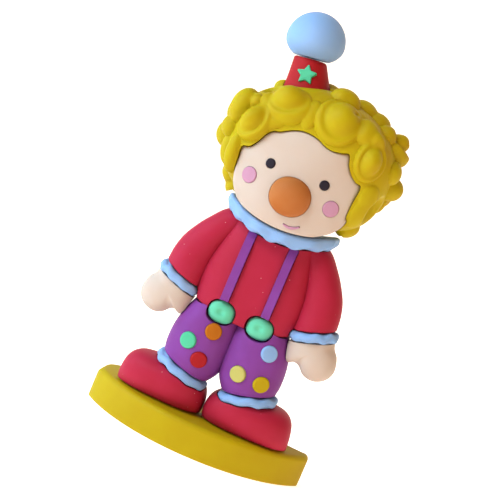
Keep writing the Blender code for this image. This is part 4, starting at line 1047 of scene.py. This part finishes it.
def neck_block():
    """Everything below the top of the collar; beyond the collar it slopes down, so the hair hangs lower."""
    reach = 2 * COLLAR_HALF_WIDTH
    line = []
    for i in range(81):
        x = reach * (2 * i / 80 - 1)
        beyond = max(0.0, abs(x) - COLLAR_HALF_WIDTH)
        rise = collar_rise(min(abs(x), COLLAR_HALF_WIDTH)) - HAIR_HANG * beyond
        line.append((x, NECK_Z + COLLAR_THICKNESS / 2 + GAP + rise))
    rings = []
    for y in (reach, -reach):
        ring = [Vector((-reach, y, 0.0)), Vector((reach, y, 0.0))]
        rings.append(ring + [Vector((x, y, z)) for x, z in reversed(line)])
    return add_form("neck_block", skin(rings))


face_form = cut(add_form("face_plug", face()), neck_block())
print("face:", len(face_form.data.polygons), "faces before its features")

# %% [markdown]
# The nose is a big flattened ball of its own colour, let into the face. The eyes and cheeks are small
# inlays, and the mouth is a thin crooked smile with tapered ends, laid in the same way.

# %% Nose, eyes, cheeks and mouth
NOSE_HALF_WIDTH = 0.0045
NOSE_HALF_HEIGHT = 0.0042
NOSE_PROUD = 0.0034
NOSE_DROP = 0.715
EYE_RADIUS = 0.00105
CHEEK_RADIUS = 0.00175
INLAY_THICKNESS = 0.0010
INLAY_PROUD = 0.00025
MOUTH_THICKNESS = 0.0006
# Middle line of the mouth, and the features' places from the head's middle, as shares of the half width
MOUTH_LINE = ((-0.133, -0.015), (-0.044, -0.033), (0.044, -0.012), (0.126, 0.041))
MOUTH_PLACE = (0.216, -1.13)
FEATURES = {
    "eye_left": (-0.460, -0.350, EYE_RADIUS),
    "eye_right": (0.450, -0.337, EYE_RADIUS),
    "cheek_left": (-0.712, -0.648, CHEEK_RADIUS),
    "cheek_right": (0.676, -0.641, CHEEK_RADIUS),
}


def mouth_outline():
    line = [point * FACE_HALF_WIDTH for point in smooth_rows(MOUTH_LINE, 8)]
    upper, lower = [], []
    for i, (x, y) in enumerate(line):
        half = MOUTH_THICKNESS / 2 * (0.35 + 0.65 * math.sin(math.pi * (i + 0.6) / (len(line) + 0.2)))
        ahead = line[min(i + 1, len(line) - 1)] - line[max(i - 1, 0)]
        across = Vector((-ahead[1], ahead[0], 0.0)).normalized() * half
        upper.append(Vector((x, y, 0.0)) + across)
        lower.append(Vector((x, y, 0.0)) - across)
    return lower + upper[::-1]


matrix = seat_matrix(face_form, FRONT_SHIFT, HEAD_Z - NOSE_DROP * FACE_HALF_WIDTH, NOSE_HALF_WIDTH / 2)
outline = oval(NOSE_HALF_WIDTH, NOSE_HALF_HEIGHT, 2.1, 96)
rings = [raised(inset(outline, EDGE), -2 * INLAY_THICKNESS), raised(outline, EDGE - 2 * INLAY_THICKNESS)]
for step in range(20):
    share = math.cos(math.pi / 2 * step / 20)
    height = puffed(share, NOSE_PROUD, 2.2) - INLAY_THICKNESS / 2
    rings.append(raised(scaled(outline, Vector(), share), height))
rings.append([Vector((0.0, 0.0, NOSE_PROUD - INLAY_THICKNESS / 2))])
pour("nose", add_form("nose_ball", skin(place(rings, matrix))))
cut_recess(face_form, inset(outline, -FINE_GAP), matrix, -2 * INLAY_THICKNESS - GAP, NOSE_PROUD * 3)
for name, (x, z, radius) in FEATURES.items():
    matrix = seat_matrix(face_form, x * FACE_HALF_WIDTH, HEAD_Z + z * FACE_HALF_WIDTH, radius / 2)
    inlay(name, face_form, matrix, oval(radius, radius, 2.0, 64), INLAY_THICKNESS, INLAY_PROUD, INLAY_PROUD)
x, z = MOUTH_PLACE
matrix = seat_matrix(face_form, x * FACE_HALF_WIDTH, HEAD_Z + z * FACE_HALF_WIDTH, MOUTH_THICKNESS)
inlay("mouth", face_form, matrix, mouth_outline(), INLAY_THICKNESS, INLAY_PROUD, INLAY_PROUD / 2)
pour("face", face_form)

# %% [markdown]
# The hair is one soft mass of curls. A curl is a rosette: a broad lobe with a smaller bud on it, and a
# groove pressed round the bud. Curves swept into spirals would leave gaps between them; here every lobe
# is a dome-shaped bump on a pillow-shaped head, and a smooth maximum melts the bumps into one skin.
# Hollows draw the mass in where the photograph's outline does.

# %% Curls
HEAD_HALF_WIDTH = 0.0184
HEAD_HALF_DEPTH = 0.0117
HEAD_HALF_HEIGHT = 0.0142
HEAD_BACK = 0.0010
HEAD_POWER_TOP = 1.9
HEAD_POWER_BOTTOM = 3.2
HEAD_PILLOW = 3.2
CURL_HEIGHT = 0.0028
CURL_BLEND = 7.0
CURL_ROUNDNESS = 0.55
BUD_ROUNDNESS = 0.95
CURL_GROOVE = 0.45
GROOVE_WIDTH = 0.28
BACK_BUD_SIZE = 0.62
BACK_BUD_LIFT = 0.06
BACK_VARIETY = 0.16
BACK_BEAT = 2.3
BACK_START = 0.50
# Lobes of the hair, as the figure's front shows them: x and height from the head's middle, half width and
# half height, in millimetres; turn in degrees; height as a share of a curl's
FRONT_LOBES = (
    (-16.9, 4.6, 2.0, 4.6, -5, 1.00),
    (-19.6, 2.9, 1.5, 3.8, 0, 1.00),
    (-15.2, 6.2, 2.0, 1.8, 0, 0.35),
    (-12.9, 1.8, 3.5, 4.6, -30, 0.80),
    (-12.4, 7.4, 1.6, 2.0, 0, 0.30),
    (-17.9, -0.9, 2.2, 2.6, 0, 0.80),
    (-19.3, -3.0, 2.2, 3.3, 0, 1.15),
    (-17.2, -6.2, 1.4, 3.6, 10, 0.40),
    (-14.9, -6.4, 1.4, 5.0, 5, 0.60),
    (-15.2, -11.4, 2.4, 3.0, 20, 0.60),
    (-13.3, -13.6, 2.6, 2.7, 0, 1.05),
    (-7.6, 8.2, 4.8, 4.6, 10, 0.75),
    (-11.8, 11.2, 2.0, 1.8, 0, 0.55),
    (-9.4, 3.4, 4.0, 1.6, 35, 0.35),
    (-2.4, 8.0, 1.8, 3.6, 0, 0.30),
    (3.5, 8.9, 5.2, 5.4, 0, 0.85),
    (2.6, 13.6, 3.4, 2.4, 0, 0.80),
    (7.2, 13.6, 3.2, 2.4, 0, 0.75),
    (11.2, 12.0, 3.0, 2.8, 0, 0.80),
    (13.4, 10.0, 1.9, 2.9, 20, 0.75),
    (9.8, 9.0, 2.9, 3.3, 20, 0.60),
    (12.3, 7.6, 1.6, 2.8, 35, 0.75),
    (12.8, 3.8, 3.4, 4.6, 0, 0.80),
    (16.8, 8.0, 3.6, 3.8, 0, 1.20),
    (18.0, 3.2, 2.6, 2.6, 0, 0.60),
    (18.6, -0.2, 3.1, 2.7, 0, 1.05),
    (15.6, -3.6, 2.4, 3.0, 0, 0.20),
    (15.0, -8.2, 2.2, 4.6, 0, 0.20),
    (13.8, -12.4, 2.6, 3.0, 0, 0.60),
)
# Buds in the middle of the rosettes, in the same form; each has a groove pressed round it
FRONT_BUDS = (
    (-13.4, 2.4, 2.1, 3.0, -25, 0.95),
    (-8.2, 9.4, 3.6, 2.7, 15, 0.95),
    (4.0, 9.6, 3.4, 3.6, 0, 1.00),
    (12.9, 3.6, 1.9, 2.9, 0, 0.90),
    (16.6, 9.6, 2.4, 2.0, 0, 1.25),
)
# Hollows between the lobes, in the same form
FRONT_HOLLOWS = (
    (17.6, -6.0, 4.2, 4.4, 0, 1.35),
    (-17.6, -8.2, 2.0, 2.6, 0, 0.25),
    (-13.1, 9.6, 2.2, 2.2, 0, 0.75),
    (5.9, 10.9, 0.7, 1.3, -55, 0.28),
)
MILLIMETRE = 0.001
# Rows of rosettes round the back and top: height as a share of the head's, rosettes in the row, half size,
# height as a share of a curl's
BACK_ROWS = (
    (0.97, 1, 4.0, 0.50),
    (0.72, 4, 4.2, 0.60),
    (0.30, 5, 4.4, 0.80),
    (-0.14, 5, 4.2, 0.75),
    (-0.55, 5, 4.0, 0.65),
)


def head_power(up):
    """Boxiness of the head's front view at a height from -1, its underside, to 1, its top."""
    return HEAD_POWER_BOTTOM + (HEAD_POWER_TOP - HEAD_POWER_BOTTOM) * (1 + up) / 2


def boxy_reach(across, up, power):
    """Distance from the middle of the head's front view, measured by a superellipse."""
    return (across ** power + up ** power) ** (1 / power)


def bare_head(directions):
    """Points of the plain pillow-shaped head in the given directions, and the outward directions there."""
    across, ahead, up = np.abs(directions).T
    power = head_power(directions[:, 2])
    flat = boxy_reach(across, up, power)
    full = (flat ** HEAD_PILLOW + ahead ** HEAD_PILLOW) ** (-1 / HEAD_PILLOW)
    sizes = np.array((HEAD_HALF_WIDTH, HEAD_HALF_DEPTH, HEAD_HALF_HEIGHT))
    lean = np.maximum(flat, 0.001) ** (HEAD_PILLOW - power)
    slopes = np.stack((across ** (power - 1) * lean, ahead ** (HEAD_PILLOW - 1), up ** (power - 1) * lean), 1)
    outward = np.sign(directions) * slopes / sizes
    return directions * full[:, None] * sizes, outward / np.linalg.norm(outward, axis=1)[:, None]


def curl_list(rows):
    """Each curl as its middle on the plain head, half width and height in metres, turn and height share."""
    curls = []
    for x, z, half_width, half_height, turn, share in rows:
        across, up = x * MILLIMETRE / HEAD_HALF_WIDTH, z * MILLIMETRE / HEAD_HALF_HEIGHT
        power = head_power(max(-1.0, min(1.0, up)))
        outside = max(1.0, boxy_reach(abs(across), abs(up), power))
        across, up = across / outside, up / outside
        flat = boxy_reach(abs(across), abs(up), power)
        ahead = max(0.0, 1 - flat ** HEAD_PILLOW) ** (1 / HEAD_PILLOW)
        middle = np.array((across * HEAD_HALF_WIDTH, -ahead * HEAD_HALF_DEPTH, up * HEAD_HALF_HEIGHT))
        curls.append((middle, half_width * MILLIMETRE, half_height * MILLIMETRE, math.radians(turn), share))
    return curls


def back_curls(size, lift):
    """Plainer curls in rows round the top and back of the head, in the same form as the front ones."""
    curls = []
    for row, (up, count, half, share) in enumerate(BACK_ROWS):
        for i in range(count):
            angle = BACK_START + (math.pi - 2 * BACK_START) * (i + 0.5 + 0.25 * (-1) ** row) / count
            flat = math.sqrt(1 - up * up)
            direction = np.array(((flat * math.cos(angle), flat * math.sin(angle), up),))
            half_size = size * half * MILLIMETRE * (1 + BACK_VARIETY * math.cos(BACK_BEAT * (i + row)))
            curls.append((bare_head(direction)[0][0], half_size, half_size, 0.0, share + lift))
    return curls


def curl_reach(points, curl):
    """Distance of each point of the plain head from a curl's middle, as a share of the curl's own size."""
    middle, half_width, half_height, turn, _ = curl
    x, y, z = (points - middle).T
    across = (x * math.cos(turn) + z * math.sin(turn)) / half_width
    along = (z * math.cos(turn) - x * math.sin(turn)) / half_height
    deep = y * 2 / (half_width + half_height)
    return np.sqrt(across ** 2 + along ** 2 + deep ** 2)


def curl_bumps(points):
    """Height of the curls over the points of the plain head, with soft valleys between them."""
    total = np.zeros(len(points))
    for curl in curl_list(FRONT_LOBES) + back_curls(1.0, 0.0):
        dome = np.clip(1 - curl_reach(points, curl) ** 2, 0, 1) ** CURL_ROUNDNESS
        total += (curl[-1] * dome) ** CURL_BLEND
    for bud in curl_list(FRONT_BUDS) + back_curls(BACK_BUD_SIZE, BACK_BUD_LIFT):
        reach = curl_reach(points, bud)
        groove = 1 - CURL_GROOVE * np.exp(-((reach - 1.1) / GROOVE_WIDTH) ** 2)
        dome = np.clip(1 - reach ** 2, 0, 1) ** BUD_ROUNDNESS
        total = total * groove ** CURL_BLEND + (bud[-1] * dome) ** CURL_BLEND
    height = total ** (1 / CURL_BLEND)
    for hollow in curl_list(FRONT_HOLLOWS):
        height -= hollow[-1] * np.clip(1 - curl_reach(points, hollow) ** 2, 0, 1) ** 2
    return CURL_HEIGHT * height


print("lobes:", len(FRONT_LOBES), "in front and", len(back_curls(1.0, 0.0)), "behind")

# %% [markdown]
# The hat is a small cone cut short, leaning to the left and let into the curls. Its star is an inlay, and
# on top sits a ball with a flat seat. The hair is cut last, by grown copies of the collar's top, the face
# and the hat.

# %% Hat, star and pompon
HAT_TOP_RADIUS = 0.0036
HAT_RADIUS = 0.0060
HAT_HEIGHT = 0.0084
HAT_X = -0.0057
HAT_LEAN = 0.0016
HAT_TILT = 7.0
HAT_SINK = 0.0036
STAR_RADIUS = 0.00235
STAR_TURN = 10.0
STAR_THICKNESS = 0.0010
STAR_PROUD = 0.0004
POMPON_RADIUS = 0.0065
POMPON_SQUASH = 0.90
POMPON_HEIGHT = 0.0110
STAR_X = -0.0073
STAR_UP = 0.0047
STAR_WAIST = 0.52
STAR_BLUNTNESS = 0.14
# Share of the hat's height, and how much of its edge is rounded off there
HAT_LEVELS = ((0.15, 0.0), (0.35, 0.0), (0.6, 0.0), (0.85, 0.0), (0.95, 0.0), (0.985, 0.3), (1.0, 1.0))


def hat_matrix():
    return leaned((HAT_X, 0.0, HEAD_Z + HEAD_HALF_HEIGHT - HAT_SINK), 1, HAT_TILT)


def hat(grow=0.0):
    rings = [raised(oval(HAT_RADIUS + grow, HAT_RADIUS + grow), -grow)]
    for share, draw in HAT_LEVELS:
        radius = HAT_RADIUS + (HAT_TOP_RADIUS - HAT_RADIUS) * share ** 0.8 + grow - EDGE * draw
        ring = oval(radius, radius)
        rings.append([Vector((point.x - HAT_LEAN * share, point.y, share * (HAT_HEIGHT + grow)))
                      for point in ring])
    return skin(place(rings, hat_matrix()))


def pompon():
    seat = HAT_TOP_RADIUS + EDGE
    start = math.asin(min(0.95, seat / POMPON_RADIUS))
    middle = POMPON_RADIUS * POMPON_SQUASH * math.cos(start)
    steps = 48
    rings = []
    for step in range(steps):
        angle = math.pi - start - (math.pi - start) * step / steps
        radius = POMPON_RADIUS * math.sin(angle)
        height = middle + (POMPON_HEIGHT - middle if angle < math.pi / 2 else middle) * math.cos(angle)
        rings.append(raised(oval(radius, radius), height))
    rings.append([Vector((0.0, 0.0, POMPON_HEIGHT))])
    lowest = min(point.z for ring in rings for point in ring)
    lift = Matrix.Translation((-HAT_LEAN, 0.0, HAT_HEIGHT + GAP - lowest))
    return skin(place(rings, hat_matrix() @ lift))


def star_outline():
    points = []
    for i in range(10):
        angle = math.radians(90 + STAR_TURN + 36 * i)
        radius = STAR_RADIUS if i % 2 == 0 else STAR_WAIST * STAR_RADIUS
        points.append(radius * Vector((math.cos(angle), math.sin(angle), 0.0)))
    result = []
    for i, point in enumerate(points):
        before, after = points[i - 1], points[(i + 1) % 10]
        if i % 2 == 0:
            result += [point.lerp(before, STAR_BLUNTNESS), point.lerp(after, STAR_BLUNTNESS)]
        else:
            result.append(point)
    return result


hat_form = add_form("hat_cone", hat())
matrix = seat_matrix(hat_form, STAR_X, hat_matrix().translation.z + STAR_UP)
inlay("star", hat_form, matrix, star_outline(), STAR_THICKNESS, STAR_PROUD, STAR_PROUD / 2)
pour("hat", hat_form)
pour("pompon", add_form("ball", pompon()))

# %% [markdown]
# Now the hair itself: a fine ball of triangles, crowded towards the front where it is looked at most, is
# pushed out to the pillow-shaped head and lifted by the curls. An icosphere has no poles, so no curl is
# pinched.

# %% Hair
FRONT_CROWDING = 0.35
HAIR_FINENESS = 7
bm = bmesh.new()
bmesh.ops.create_icosphere(bm, subdivisions=HAIR_FINENESS, radius=1.0)
directions = np.array([vert.co[:] for vert in bm.verts])
directions[:, 1] -= FRONT_CROWDING
directions /= np.linalg.norm(directions, axis=1)[:, None]
points, outward = bare_head(directions)
points += outward * curl_bumps(points)[:, None]
for vert, point in zip(bm.verts, points):
    vert.co = Vector(point) + Vector((0.0, HEAD_BACK, HEAD_Z))
hair = add_form("hair_mass", bm)
cut(hair, neck_block(), add_form("face_seat", face(2 * FINE_GAP)), add_form("hat_seat", hat(2 * FINE_GAP)))
pour("hair", hair)
